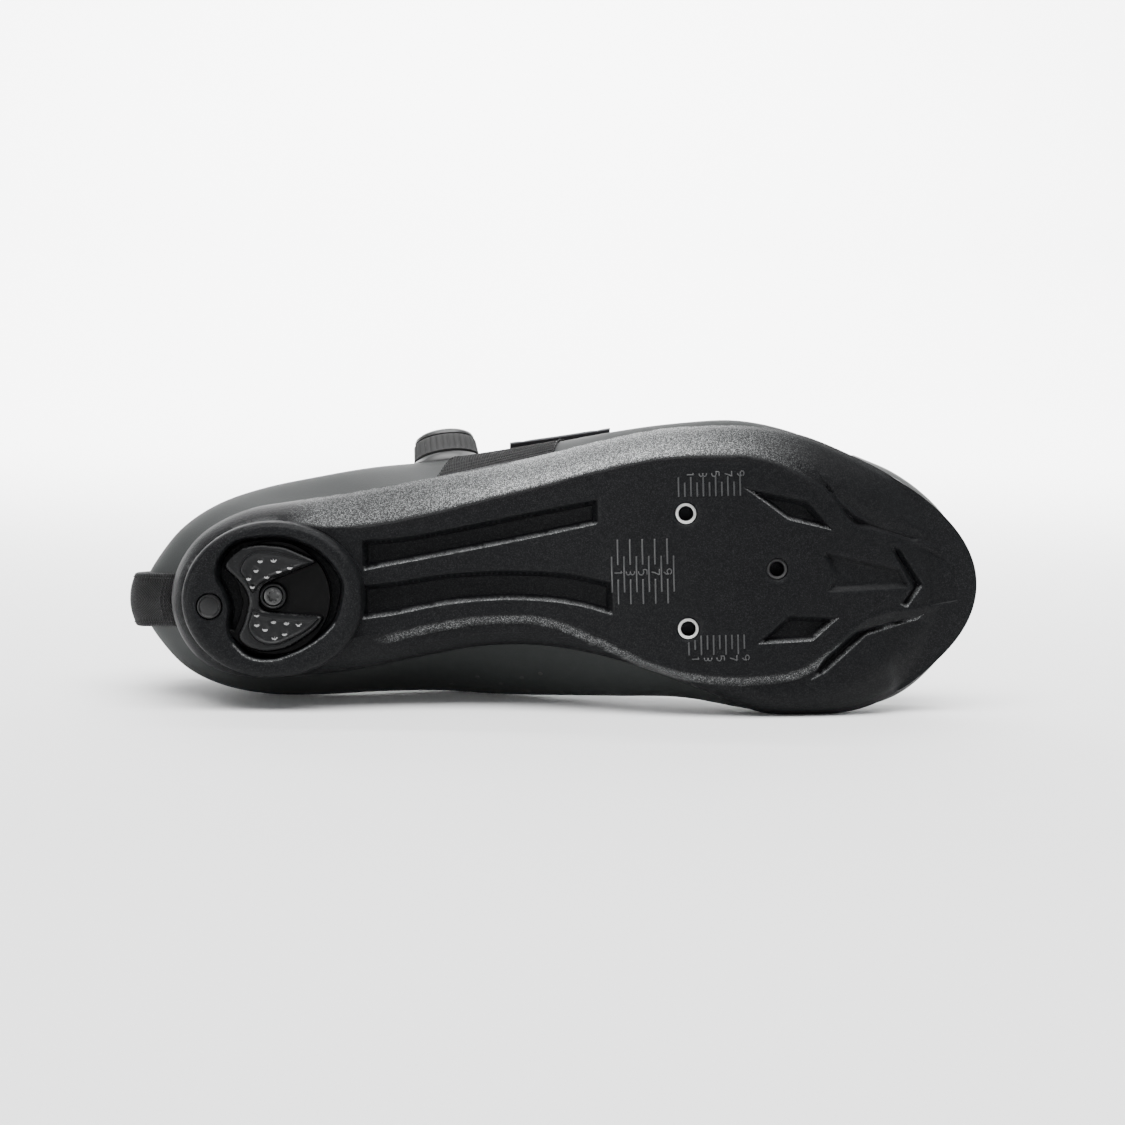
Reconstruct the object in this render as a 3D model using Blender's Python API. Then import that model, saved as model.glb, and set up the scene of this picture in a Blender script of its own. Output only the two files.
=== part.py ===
"""A road cycling shoe for the right foot, lying empty on its inner side.

The shoe is shaped as if it stood: X runs from heel to toe, Y towards the inner side and Z up from the floor
under heel and ball. An empty then lays it on its inner side, where it rests. Lengths are in metres.
"""
import math

import bmesh
import bpy
import numpy as np
from mathutils import Matrix, Vector

MM = 0.001

# Driving sizes of the last and the shoe
SHOE_LENGTH = 280 * MM
BALL_WIDTH = 90 * MM
INSTEP_HEIGHT = 94 * MM
SOLE_DEPTH = 20 * MM
FIT_GAP = 0.3 * MM

# Upper
UPPER_WALL = 2.0 * MM
COLLAR_PAD = 2.6 * MM
CUP_LIP = 1.3 * MM

# Sole
CUP_WALL = 3.2 * MM
WAIST_CHANNEL_DEPTH = 5.2 * MM
HEEL_CAVITY_DEPTH = 8.5 * MM
ROUNDING = 0.6 * MM

# Cleat seat, for three bolts
NUT_SPACING = 37.5 * MM
NUT_REACH = 29.5 * MM
NUT_OUTER = 4.3 * MM
NUT_BORE = 2.3 * MM
NUT_LENGTH = 4.6 * MM

# Heel pad
SCREW_HEAD = 3.2 * MM
PLUG_RADIUS = 3.9 * MM
PLUG_DEPTH = 2.5 * MM

# Soft trims
INSOLE_THICKNESS = 3.0 * MM
TONGUE_THICKNESS = 3.4 * MM
STRAP_THICKNESS = 1.8 * MM
LOOP_WIDTH = 17 * MM
LOOP_THICKNESS = 1.4 * MM
TOE_CAP_WALL = 1.1 * MM

# Closure dial
DIAL_RADIUS = 11.5 * MM
DIAL_HEIGHT = 6.5 * MM
DIAL_CAP_HEIGHT = 2.2 * MM
CABLE_RADIUS = 0.75 * MM

# Mesh fineness
SIDE_COLUMNS_OPEN = 25
SIDE_COLUMNS_CLOSED = 13
RIB_ROWS = (2, 3, 4, 4)

BLACK = (0.012, 0.013, 0.014)
GREY = (0.085, 0.092, 0.093)
STEEL = (0.55, 0.55, 0.54)

# Each outline runs from its own heel end to its own toe end. The columns are the share of that run,
# the shift of its middle towards the inner side and the half width, both as shares of the ball width.
RIM_ENDS = (0.043, 1.0)
RIM = (
    # along, shift, half
    (0.000, 0.000, 0.000),
    (0.049, -0.006, 0.256),
    (0.101, -0.020, 0.310),
    (0.160, -0.034, 0.322),
    (0.235, -0.060, 0.326),
    (0.310, -0.098, 0.324),
    (0.384, -0.134, 0.329),
    (0.459, -0.152, 0.352),
    (0.534, -0.154, 0.399),
    (0.597, -0.139, 0.447),
    (0.664, -0.104, 0.493),
    (0.720, -0.067, 0.524),
    (0.776, -0.043, 0.515),
    (0.840, -0.009, 0.473),
    (0.903, 0.004, 0.389),
    (0.951, 0.003, 0.280),
    (0.978, 0.004, 0.190),
    (1.000, 0.004, 0.000),
)
PLATEAU_ENDS = (0.061, 0.986)
PLATEAU = (
    (0.000, 0.000, 0.000),
    (0.031, -0.011, 0.144),
    (0.081, -0.022, 0.222),
    (0.135, -0.028, 0.239),
    (0.189, -0.044, 0.206),
    (0.247, -0.063, 0.200),
    (0.309, -0.097, 0.197),
    (0.388, -0.136, 0.210),
    (0.459, -0.151, 0.240),
    (0.529, -0.132, 0.307),
    (0.598, -0.102, 0.372),
    (0.668, -0.086, 0.396),
    (0.722, -0.078, 0.392),
    (0.776, -0.060, 0.349),
    (0.815, -0.058, 0.282),
    (0.861, -0.054, 0.188),
    (0.931, -0.034, 0.132),
    (0.977, -0.010, 0.092),
    (1.000, 0.000, 0.000),
)
BELLY_ENDS = (0.0, 0.998)
BELLY = (
    (0.000, 0.000, 0.000),
    (0.021, 0.000, 0.160),
    (0.050, -0.003, 0.262),
    (0.097, -0.011, 0.344),
    (0.150, -0.020, 0.387),
    (0.215, -0.036, 0.409),
    (0.286, -0.055, 0.424),
    (0.358, -0.060, 0.429),
    (0.429, -0.073, 0.433),
    (0.501, -0.093, 0.442),
    (0.572, -0.107, 0.467),
    (0.644, -0.104, 0.502),
    (0.715, -0.090, 0.528),
    (0.780, -0.064, 0.518),
    (0.844, -0.029, 0.467),
    (0.905, -0.003, 0.402),
    (0.955, 0.002, 0.287),
    (0.982, 0.003, 0.183),
    (1.000, 0.003, 0.000),
)
TOPLINE_ENDS = (0.022, 0.943)
THROAT_END = 0.716
TOPLINE = (
    # along, shift, half, lean of the edge in degrees
    (0.000, 0.000, 0.000, 84),
    (0.020, -0.004, 0.144, 84),
    (0.070, -0.012, 0.256, 82),
    (0.147, -0.024, 0.300, 80),
    (0.225, -0.033, 0.311, 78),
    (0.291, -0.040, 0.289, 66),
    (0.341, -0.047, 0.233, 52),
    (0.376, -0.052, 0.183, 42),
    (0.438, -0.058, 0.150, 36),
    (0.516, -0.066, 0.133, 31),
    (0.593, -0.072, 0.111, 26),
    (0.651, -0.075, 0.078, 22),
    (0.690, -0.076, 0.040, 12),
    (0.716, -0.077, 0.000, 0),
    (0.800, -0.072, 0.000, 0),
    (0.900, -0.036, 0.000, 0),
    (1.000, 0.003, 0.000, 0),
)

# Heights along the shoe, each as a share of the sole's depth at the toe or of the instep's height
SIDE_VIEW = (
    # along, plateau, cup floor, rim (shares of the sole depth)
    (0.000, 0.280, 0.570, 0.860),
    (0.061, 0.250, 0.570, 0.860),
    (0.165, 0.200, 0.575, 0.875),
    (0.270, 0.300, 0.650, 0.950),
    (0.360, 0.430, 0.770, 1.040),
    (0.445, 0.430, 0.800, 1.070),
    (0.535, 0.270, 0.650, 0.880),
    (0.610, 0.100, 0.450, 0.690),
    (0.680, 0.000, 0.350, 0.600),
    (0.735, 0.030, 0.360, 0.600),
    (0.786, 0.140, 0.440, 0.680),
    (0.857, 0.430, 0.700, 0.890),
    (0.911, 0.710, 0.950, 1.120),
    (0.957, 1.010, 1.220, 1.370),
    (1.000, 1.280, 1.460, 1.600),
)
UPPER_HEIGHTS = (
    # along, belly, shoulder's share from rim to top, shoulder's share of the belly's width, top
    (0.000, 0.420, 0.70, 0.93, 0.915),
    (0.050, 0.420, 0.70, 0.93, 0.905),
    (0.100, 0.420, 0.70, 0.93, 0.860),
    (0.165, 0.430, 0.72, 0.92, 0.760),
    (0.235, 0.440, 0.72, 0.91, 0.700),
    (0.295, 0.490, 0.73, 0.90, 0.760),
    (0.342, 0.520, 0.75, 0.86, 0.905),
    (0.375, 0.520, 0.76, 0.82, 0.985),
    (0.430, 0.490, 0.76, 0.78, 0.935),
    (0.500, 0.430, 0.77, 0.73, 0.835),
    (0.575, 0.340, 0.78, 0.69, 0.745),
    (0.650, 0.290, 0.80, 0.68, 0.665),
    (0.720, 0.262, 0.81, 0.69, 0.610),
    (0.800, 0.268, 0.82, 0.70, 0.575),
    (0.880, 0.315, 0.83, 0.70, 0.560),
    (0.950, 0.375, 0.83, 0.68, 0.553),
    (1.000, 0.415, 0.80, 0.66, 0.545),
)
SHOULDER_ENDS = (0.010, 0.982)

# The middle of the rear cleat inserts, the heel plug and the pad's screw, as shares of the shoe's length and
# the ball width
NUTS_MIDDLE = (0.646, -0.068)
NUT_SINK = 0.5 * MM
PLUG_PLACE = (0.0925, 0.020)
SCREW_PLACE = (0.1656, -0.011)

# The round housing at the heel, with its middle, its two radii and its section
HEEL_HOUSING = (0.1656, 0.0)
HOUSING_RADII = (0.1054, 0.2822)
HOUSING_SECTION = (
    # share of the radii, share of the sole's depth
    (0.900, 0.000),
    (0.950, 0.020),
    (0.985, 0.075),
    (1.000, 0.160),
    (1.000, 0.330),
    (0.800, 0.480),
)

# Outline of the cavity in the housing
HEEL_CAVITY = (
    # along, across
    (0.1281, -0.2282),
    (0.1560, -0.2370),
    (0.1835, -0.2347),
    (0.2160, -0.1920),
    (0.2330, -0.1450),
    (0.2453, -0.0887),
    (0.2500, -0.0460),
    (0.2486, -0.0075),
    (0.2450, 0.0450),
    (0.2388, 0.0932),
    (0.2260, 0.1370),
    (0.2095, 0.1724),
    (0.1900, 0.2030),
    (0.1672, 0.2253),
    (0.1500, 0.2250),
    (0.1346, 0.2130),
    (0.1210, 0.1780),
    (0.1118, 0.1355),
    (0.1090, 0.0845),
    (0.1134, 0.0342),
    (0.1069, -0.0270),
    (0.0975, -0.0784),
    (0.0988, -0.1390),
    (0.1118, -0.1989),
)

# The pad in the cavity: a disc with a hollow back, and its lobes
PAD_MIDDLE = (0.1656, -0.005)
PAD_RADIUS = 18.6 * MM
PAD_ARC = (-146.0, 141.0)
PAD_BACK = ((0.1228, 0.1000), (0.1290, 0.0600), (0.1330, 0.0082), (0.1270, -0.0600), (0.1180, -0.0900))
PAD_STEP = 4.6 * MM
PAD_PROUD = 0.4 * MM
PAD_LOBES = {
    "pad_lobe_outer": (
        (0.1266, -0.1063), (0.1343, -0.1537), (0.1478, -0.1767), (0.1709, -0.1692), (0.1950, -0.1490),
        (0.2151, -0.1304), (0.1612, -0.0741), (0.1516, -0.0620),
    ),
    "pad_lobe_inner": (
        (0.1478, 0.0500), (0.1574, 0.0560), (0.2209, 0.0676), (0.2110, 0.1000), (0.1997, 0.1261),
        (0.1709, 0.1661), (0.1555, 0.1651), (0.1420, 0.1402), (0.1335, 0.0915),
    ),
}

# How the side wall goes from the plateau's edge out and up to the rim, as shares of both distances
SIDE_WALL = (
    (0.300, 0.080),
    (0.620, 0.250),
    (0.880, 0.520),
)

# The two channels along the waist: the outer and the inner side of each, from heel to ball
WAIST_CHANNELS = {
    "outer_channel": (
        # along, outer side, inner side
        (0.274, -0.2090, -0.0980),
        (0.300, -0.2110, -0.1110),
        (0.380, -0.2480, -0.1500),
        (0.460, -0.2930, -0.1930),
        (0.545, -0.3390, -0.2440),
    ),
    "inner_channel": (
        # along, outer side, inner side
        (0.274, -0.0470, 0.0830),
        (0.300, -0.0530, 0.0720),
        (0.360, -0.0770, 0.0400),
        (0.452, -0.0850, 0.0265),
        (0.517, -0.0656, 0.0505),
        (0.560, -0.0400, 0.0860),
    ),
}

# Recesses in the toe's underside: outline, and depth as a share of the sole's depth
POCKETS = {
    "outer_toe_pocket": (
        ((0.711, -0.368), (0.7895, -0.3125), (0.8191, -0.205), (0.7643, -0.245), (0.7347, -0.316)), 0.20
    ),
    "inner_toe_pocket": (
        ((0.7228, 0.2036), (0.7643, 0.1054), (0.8265, 0.1137), (0.7924, 0.199)), 0.20
    ),
    "nose_recess": (
        ((0.810, -0.112), (0.8901, -0.0680), (0.9020, -0.0560), (0.9230, 0.0020), (0.9020, 0.0190), (0.815, 0.018)), 0.13
    ),
}

# The toe cap's rear edge, as the share of the turn at the rim and on the ridge
TOE_CAP_START = (0.836, 0.892)
COLLAR_END = 0.36

# Tongue, from the vamp to its last row under the flaps, and its free end
TONGUE_SHARES = (0.700, 0.375)
TONGUE_EDGE = (
    # along, rise of the tongue's edge under the flap
    (0.375, 3.950),
    (0.540, 3.450),
    (0.700, 3.450),
)
TONGUE_END = (
    # rise, share of the width, distance back, rise and distance as shares of the instep's height
    (0.060, 1.00, 0.030),
    (0.140, 1.02, 0.075),
    (0.220, 0.98, 0.125),
    (0.262, 0.80, 0.155),
)

# Straps: their shares along the topline, and the rises of their ends on the outer and the inner flap
FOREFOOT_STRAP = ((0.450, 0.570), (2.15, 3.30))
INSTEP_STRAP = ((0.375, 0.440), (3.55, 2.60))
INSTEP_STRAP_THICKNESS = 2.6 * MM

# Dial: its place on the outer flap and the seat under it. The cable's loop runs from there to the strap.
DIAL_PLACE = (0.372, 2.55)
DIAL_FLANGE = 1.2 * MM
DIAL_SEAT = 2.6 * MM
CABLE_PATH = (
    # along, rise, both counted from the dial's place
    (0.020, 0.42),
    (0.020, 0.75),
    (0.035, 0.93),
    (0.050, 0.75),
    (0.050, 0.42),
)
LOOP_REACH = 3.0 * MM

# Where the shoe's own weight acts, as shares of its length, ball width and instep height
REST_MIDDLE = (0.502, -0.078, 0.285)


def column(table, place):
    """One column of a table, as an array."""
    return np.array([row[place] for row in table], float)


def smooth(knots, values, at):
    """Cubic curve through the values at the knots, with the slope at each knot from its neighbours."""
    at = np.clip(np.asarray(at, float), knots[0], knots[-1])
    steps = np.diff(knots)
    rises = np.diff(values) / steps
    slopes = np.empty(len(knots))
    slopes[0], slopes[-1] = rises[0], rises[-1]
    slopes[1:-1] = (rises[:-1] * steps[1:] + rises[1:] * steps[:-1]) / (steps[:-1] + steps[1:])
    place = np.clip(np.searchsorted(knots, at, side="right") - 1, 0, len(steps) - 1)
    h = steps[place]
    t = (at - knots[place]) / h
    return (
        values[place] * (1 + 2 * t) * (1 - t) ** 2
        + h * slopes[place] * t * (1 - t) ** 2
        + values[place + 1] * t**2 * (3 - 2 * t)
        + h * slopes[place + 1] * t**2 * (t - 1)
    )


def turn_of(share):
    """The turn round an outline, 0 at the heel and pi at the toe, at a share of its length."""
    return np.arccos(np.clip(1 - 2 * np.asarray(share, float), -1, 1))


def share_of(turn):
    """The share of an outline's length at a turn."""
    return (1 - np.cos(turn)) / 2


def along_table(table, place, turn):
    """A table's column at a turn. It is smoothed over the turn, so that both ends come out round."""
    return smooth(turn_of(column(table, 0)), column(table, place), np.abs(turn))


def outline(ends, table, turn, inset=0.0):
    """X and Y of an outline at signed turns: the outer side of the foot is positive, and lies at -Y."""
    start, end = ends[0] * SHOE_LENGTH + inset, ends[1] * SHOE_LENGTH - inset
    x = start + (end - start) * share_of(turn)
    half = along_table(table, 2, turn) * BALL_WIDTH
    half = half * (1 - inset / np.maximum(half, 3 * inset + 1e-9))
    return x, along_table(table, 1, turn) * BALL_WIDTH - np.sign(turn) * half


def side_height(place, x):
    """A height of the sole at X: 1 is the plateau, 2 the cup's floor and 3 its rim."""
    return smooth(column(SIDE_VIEW, 0), column(SIDE_VIEW, place), x / SHOE_LENGTH) * SOLE_DEPTH


def upper_height(place, x):
    """A column of the upper's heights at X."""
    return smooth(column(UPPER_HEIGHTS, 0), column(UPPER_HEIGHTS, place), x / SHOE_LENGTH)


def stacked(x, y, z):
    """Three arrays as one array of points."""
    return np.stack(np.broadcast_arrays(x, y, z), axis=-1)


def upper_levels(turn):
    """The points that a rib of the upper passes through at each turn: feather, rim, belly, shoulder and top."""
    x, y = outline(RIM_ENDS, RIM, turn, CUP_WALL + CUP_LIP + FIT_GAP)
    feather = stacked(x, y, side_height(2, x) + FIT_GAP)
    x, y = outline(RIM_ENDS, RIM, turn, CUP_LIP + FIT_GAP)
    rim = stacked(x, y, side_height(3, x))
    x, y = outline(BELLY_ENDS, BELLY, turn)
    belly = stacked(x, y, upper_height(1, x) * INSTEP_HEIGHT)
    top_x = outline(TOPLINE_ENDS, TOPLINE, turn)[0]
    middle = along_table(TOPLINE, 1, turn) * BALL_WIDTH
    opening = np.where(
        share_of(turn) < THROAT_END - 1e-6, along_table(TOPLINE, 2, turn) * BALL_WIDTH, 0.0
    )
    top = stacked(top_x, middle - np.sign(turn) * np.maximum(opening, 0.0), upper_height(4, top_x) * INSTEP_HEIGHT)
    start, end = SHOULDER_ENDS[0] * SHOE_LENGTH, SHOULDER_ENDS[1] * SHOE_LENGTH
    x = start + (end - start) * share_of(turn)
    belly_middle = along_table(BELLY, 1, turn) * BALL_WIDTH
    half = along_table(BELLY, 2, turn) * BALL_WIDTH * upper_height(3, x)
    low, high = side_height(3, x), upper_height(4, x) * INSTEP_HEIGHT
    shoulder = stacked(
        x, (belly_middle + middle) / 2 - np.sign(turn) * half, low + (high - low) * upper_height(2, x)
    )
    return np.stack([feather, rim, belly, shoulder, top])


def rib(turn, rise):
    """Points of the upper's outer face. Rise is 0 at the feather, 1 at the rim, 2 at the belly, 3 at the
    shoulder and 4 at the top, with a cubic between levels. Inside the cup the wall is straight."""
    turn, rise = np.broadcast_arrays(np.asarray(turn, float), np.asarray(rise, float))
    points = upper_levels(turn)
    slopes = np.empty_like(points)
    slopes[0] = points[1] - points[0]
    slopes[1:-1] = (points[2:] - points[:-2]) / 2
    slopes[1] = (points[2] - points[1]) * 0.75
    lean = np.radians(np.where(share_of(turn) < THROAT_END, along_table(TOPLINE, 3, turn), 0.0))
    reach = np.linalg.norm(points[4] - points[3], axis=-1)
    side = np.where(turn == 0, 0.0, np.sign(turn)) * np.minimum(1, np.abs(np.sin(turn)) * 4)
    slopes[4] = stacked(np.zeros_like(lean), side * np.cos(lean) * reach, np.sin(lean) * reach)
    toe_end = np.clip((share_of(turn) - 0.93) / 0.07, 0, 1)[..., None]
    slopes[4] += toe_end * stacked(-reach, 0 * reach, 0 * reach)
    place = np.clip(np.floor(rise).astype(int), 0, 3)
    t = (rise - place)[..., None]
    pick = np.indices(turn.shape)
    here, there = points[(place, *pick)], points[(place + 1, *pick)]
    here_slope, there_slope = slopes[(place, *pick)], slopes[(place + 1, *pick)]
    curve = (
        here * (1 + 2 * t) * (1 - t) ** 2
        + here_slope * t * (1 - t) ** 2
        + there * t**2 * (3 - 2 * t)
        + there_slope * t**2 * (t - 1)
    )
    return np.where((place == 0)[..., None], here + (there - here) * t, curve)


def outward(turn, rise):
    """Unit normals of the upper's outer face."""
    step = 0.01
    turn, rise = np.broadcast_arrays(np.asarray(turn, float), np.asarray(rise, float))
    low, high = np.maximum(rise - step, 0), np.minimum(rise + step, 4)
    across = rib(turn + step, rise) - rib(turn - step, rise)
    up = rib(turn, high) - rib(turn, low)
    normal = np.cross(across, up)
    return normal / np.maximum(np.linalg.norm(normal, axis=-1, keepdims=True), 1e-12)


def upper_face(turn, rise, offset):
    """The upper's outer face moved outwards by an offset."""
    return rib(turn, rise) + outward(turn, rise) * np.asarray(offset, float)[..., None]


def material(name, colour, roughness, metallic=0.0):
    """A plain Principled material of that name."""
    made = bpy.data.materials.get(name) or bpy.data.materials.new(name)
    made.use_nodes = True
    shader = made.node_tree.nodes["Principled BSDF"]
    shader.inputs["Base Color"].default_value = (*colour, 1)
    shader.inputs["Roughness"].default_value = roughness
    shader.inputs["Metallic"].default_value = metallic
    return made


def new_object(name, mesh, collection, finish=None):
    """Links a mesh as an object of the collection."""
    made = bpy.data.objects.new(name, mesh)
    collection.objects.link(made)
    if finish:
        mesh.materials.append(finish)
    return made


def mesh_from(name, points, faces):
    """A mesh with its doubles merged, its faces outwards and its shading smooth."""
    mesh = bpy.data.meshes.new(name)
    mesh.from_pydata(np.asarray(points, float).reshape(-1, 3).tolist(), [], [list(map(int, f)) for f in faces])
    work = bmesh.new()
    work.from_mesh(mesh)
    bmesh.ops.remove_doubles(work, verts=work.verts, dist=1e-6)
    bmesh.ops.recalc_face_normals(work, faces=work.faces)
    work.to_mesh(mesh)
    work.free()
    mesh.shade_smooth()
    mesh.set_sharp_from_angle(angle=math.radians(35))
    return mesh


def quads(rows, columns, start=0, around=False):
    """Faces of a grid of points, joined round the columns if asked."""
    last = columns if around else columns - 1
    return [
        (
            start + r * columns + c,
            start + r * columns + (c + 1) % columns,
            start + (r + 1) * columns + (c + 1) % columns,
            start + (r + 1) * columns + c,
        )
        for r in range(rows - 1)
        for c in range(last)
    ]


def sheet_solid(name, outer, inner, collection, finish, seam=False):
    """A closed sheet between two grids of points of one shape. With a seam, the last row meets itself and
    gets no edge faces."""
    rows, columns = outer.shape[:2]
    count = rows * columns
    faces = quads(rows, columns) + [f[::-1] for f in quads(rows, columns, count)]
    edge = (
        [(0, c) for c in range(columns)]
        + [(r, columns - 1) for r in range(1, rows)]
        + [(rows - 1, c) for c in range(columns - 2, -1, -1)]
        + [(r, 0) for r in range(rows - 2, 0, -1)]
    )
    for (r, c), (to_r, to_c) in zip(edge, edge[1:] + edge[:1]):
        if seam and r == to_r == rows - 1:
            continue
        a, b = r * columns + c, to_r * columns + to_c
        faces.append((a, b, b + count, a + count))
    mesh = mesh_from(name, np.concatenate([outer.reshape(-1, 3), inner.reshape(-1, 3)]), faces)
    return new_object(name, mesh, collection, finish)


def ring_solid(name, rings, collection, finish=None):
    """A closed solid through rings of points. Point i and point -i of the first and last ring lie across from
    each other, so each end is closed by strips between the ring's two sides."""
    rings = [np.asarray(ring, float) for ring in rings]
    columns = len(rings[0])
    faces = quads(len(rings), columns, around=True)
    for start, flip in ((0, True), ((len(rings) - 1) * columns, False)):
        for i in range(columns // 2):
            strip = [start + i, start + i + 1, start + (columns - i - 1) % columns, start + (columns - i) % columns]
            strip = list(dict.fromkeys(strip))
            faces.append(strip[::-1] if flip else strip)
    return new_object(name, mesh_from(name, np.concatenate(rings), faces), collection, finish)


def flat_block(name, corners, low, high, collection):
    """A cutter or block with a flat outline in X and Y, between two heights."""
    corners = np.asarray(corners, float)
    count = len(corners)
    points = [(x, y, z) for z in (low, high) for x, y in corners]
    faces = [list(range(count))[::-1], list(range(count, 2 * count))]
    faces += [(i, (i + 1) % count, (i + 1) % count + count, i + count) for i in range(count)]
    return new_object(name, mesh_from(name, points, faces), collection)


def tapered_block(name, corners, low, high, spread, collection):
    """A prism whose lower outline is wider than its upper one by a spread, as a mould's draft leaves it."""
    corners = np.asarray(corners, float)
    before, after = np.roll(corners, 1, axis=0), np.roll(corners, -1, axis=0)
    first, second = corners - before, after - corners
    area = np.sum(corners[:, 0] * after[:, 1] - after[:, 0] * corners[:, 1])
    turn = math.copysign(1, area)
    first, second = (
        np.stack([d[:, 1], -d[:, 0]], 1) * turn / np.linalg.norm(d, axis=1, keepdims=True) for d in (first, second)
    )
    away = first + second
    away = away / np.maximum(np.sum(away * first, axis=1, keepdims=True), 0.35)
    rings = [
        [(x, y, low) for x, y in corners + away * spread],
        [(x, y, high) for x, y in corners],
    ]
    count = len(corners)
    faces = [list(range(count))[::-1], list(range(count, 2 * count))]
    faces += [(i, (i + 1) % count, (i + 1) % count + count, i + count) for i in range(count)]
    return new_object(name, mesh_from(name, rings[0] + rings[1], faces), collection)


def cylinder(name, centre, axis, radius, length, collection, sides=24, top_radius=None, finish=None):
    """A cylinder or cone from a centre along an axis."""
    mesh = bpy.data.meshes.new(name)
    work = bmesh.new()
    bmesh.ops.create_cone(
        work, cap_ends=True, segments=sides, radius1=radius,
        radius2=radius if top_radius is None else top_radius, depth=length,
    )
    turn = Vector(axis).normalized().to_track_quat("Z", "Y").to_matrix().to_4x4()
    lift = Matrix.Translation((0, 0, length / 2))
    bmesh.ops.transform(work, matrix=Matrix.Translation(Vector(centre)) @ turn @ lift, verts=work.verts)
    work.to_mesh(mesh)
    work.free()
    mesh.shade_smooth()
    mesh.set_sharp_from_angle(angle=math.radians(35))
    return new_object(name, mesh, collection, finish)


def boolean(target, cutter, operation):
    """A Boolean modifier on the target. The cutter is hidden as a helper."""
    cutter.hide_render = True
    cutter.display_type = "WIRE"
    step = target.modifiers.new(cutter.name, "BOOLEAN")
    step.operation = operation
    step.object = cutter


def scaled(points):
    """Places on the sole's plan given as shares of the shoe's length and of the ball width."""
    return np.asarray(points, float) * (SHOE_LENGTH, BALL_WIDTH)


def ring_turns(open_columns=SIDE_COLUMNS_OPEN, closed_columns=SIDE_COLUMNS_CLOSED):
    """Turns of the columns round the shoe: the outer side from heel to toe, then the inner side back."""
    throat = float(turn_of(THROAT_END))
    side = np.concatenate(
        [np.linspace(0, throat, open_columns), np.linspace(throat, math.pi, closed_columns)[1:]]
    )
    return np.concatenate([side, -side[-2:0:-1]])


def nut_places():
    """Places of the three cleat inserts in plan: two behind, one ahead, in the common road pattern."""
    x, y = scaled(NUTS_MIDDLE)
    return {
        "cleat_nut_outer_rear": (x, y - NUT_SPACING / 2),
        "cleat_nut_inner_rear": (x, y + NUT_SPACING / 2),
        "cleat_nut_front": (x + NUT_REACH, y),
    }


def meet_on_ridge(grid, closed):
    """Makes both sides of the last row meet in the middle, where the columns are closed."""
    mirrored = np.roll(grid[-1, ::-1], 1, axis=0)
    middle = (grid[-1] + mirrored) / 2
    grid[-1, closed] = middle[closed]


def make_upper(collection, finish):
    """The upper: one hollow shell from the feather edge to the topline, thicker round the padded collar.
    The two sides meet on the ridge of the vamp and stay open at throat and collar."""
    turns = ring_turns()
    rises = np.concatenate(
        [place + np.arange(count) / count for place, count in enumerate(RIB_ROWS)] + [[4.0]]
    )
    turn, rise = np.meshgrid(turns, rises)
    collar = np.clip((COLLAR_END - share_of(turn)) / 0.07, 0, 1) * np.clip((rise - 3.0) / 0.8, 0, 1)
    wall = UPPER_WALL + COLLAR_PAD * collar * collar * (3 - 2 * collar)
    outer = upper_face(turn, rise, np.zeros_like(turn))
    inner = upper_face(turn, rise, -wall)
    closed = share_of(turns) > THROAT_END - 1e-6
    meet_on_ridge(outer, closed)
    meet_on_ridge(inner, closed)
    rows, columns = turn.shape
    count = rows * columns
    faces = quads(rows, columns, around=True)
    faces += [f[::-1] for f in quads(rows, columns, count, around=True)]
    for c in range(columns):
        ahead = (c + 1) % columns
        faces.append((c, c + count, ahead + count, ahead))
        if not (closed[c] and closed[ahead]):
            a, b = (rows - 1) * columns + c, (rows - 1) * columns + ahead
            faces.append((a, b, b + count, a + count))
    mesh = mesh_from("upper", np.concatenate([outer.reshape(-1, 3), inner.reshape(-1, 3)]), faces)
    return new_object("upper", mesh, collection, finish)


def make_toe_cap(collection, finish):
    """A thin overlay round the toe, cut from the upper's own face and standing proud of it."""
    rises = np.concatenate([[1.14], np.linspace(1.4, 4, 9)])
    start = TOE_CAP_START[0] + (TOE_CAP_START[1] - TOE_CAP_START[0]) * (rises - 1) / 3
    away = np.linspace(-1, 1, 27)[None, :] * (math.pi - turn_of(start))[:, None]
    turn = np.where(away < 0, math.pi + away, away - math.pi)
    turn = np.where(away == 0, math.pi, turn)
    rise = np.broadcast_to(rises[:, None], turn.shape)
    grids = [upper_face(turn, rise, np.full(turn.shape, d)) for d in (FIT_GAP + TOE_CAP_WALL, FIT_GAP)]
    for grid in grids:
        grid[-1] = (grid[-1] + grid[-1, ::-1]) / 2
    return sheet_solid("toe_cap", grids[0], grids[1], collection, finish, seam=True)


def across_instep(share, outer_rise, inner_rise, offset, side_steps=7, bridge_steps=4):
    """A row of points across the instep at a share of the topline: up the outer flap, over the throat and
    down the inner flap, at an offset from the upper's outer face."""
    turn = np.full(side_steps, float(turn_of(share)))
    offset = np.full(side_steps, offset)
    up = upper_face(turn, np.linspace(outer_rise, 4, side_steps), offset)
    down = upper_face(-turn, np.linspace(4, inner_rise, side_steps), offset)
    t = np.linspace(0, 1, bridge_steps + 2)[1:-1, None]
    steep = math.tan(math.radians(float(along_table(TOPLINE, 3, turn[0])))) if share < THROAT_END else 0.0
    lift = np.array([0, 0, np.linalg.norm(down[0] - up[-1]) * steep / 4])
    bridge = up[-1] * (1 - t) + down[0] * t + lift * 4 * t * (1 - t)
    return np.concatenate([up, bridge, down])


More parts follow.
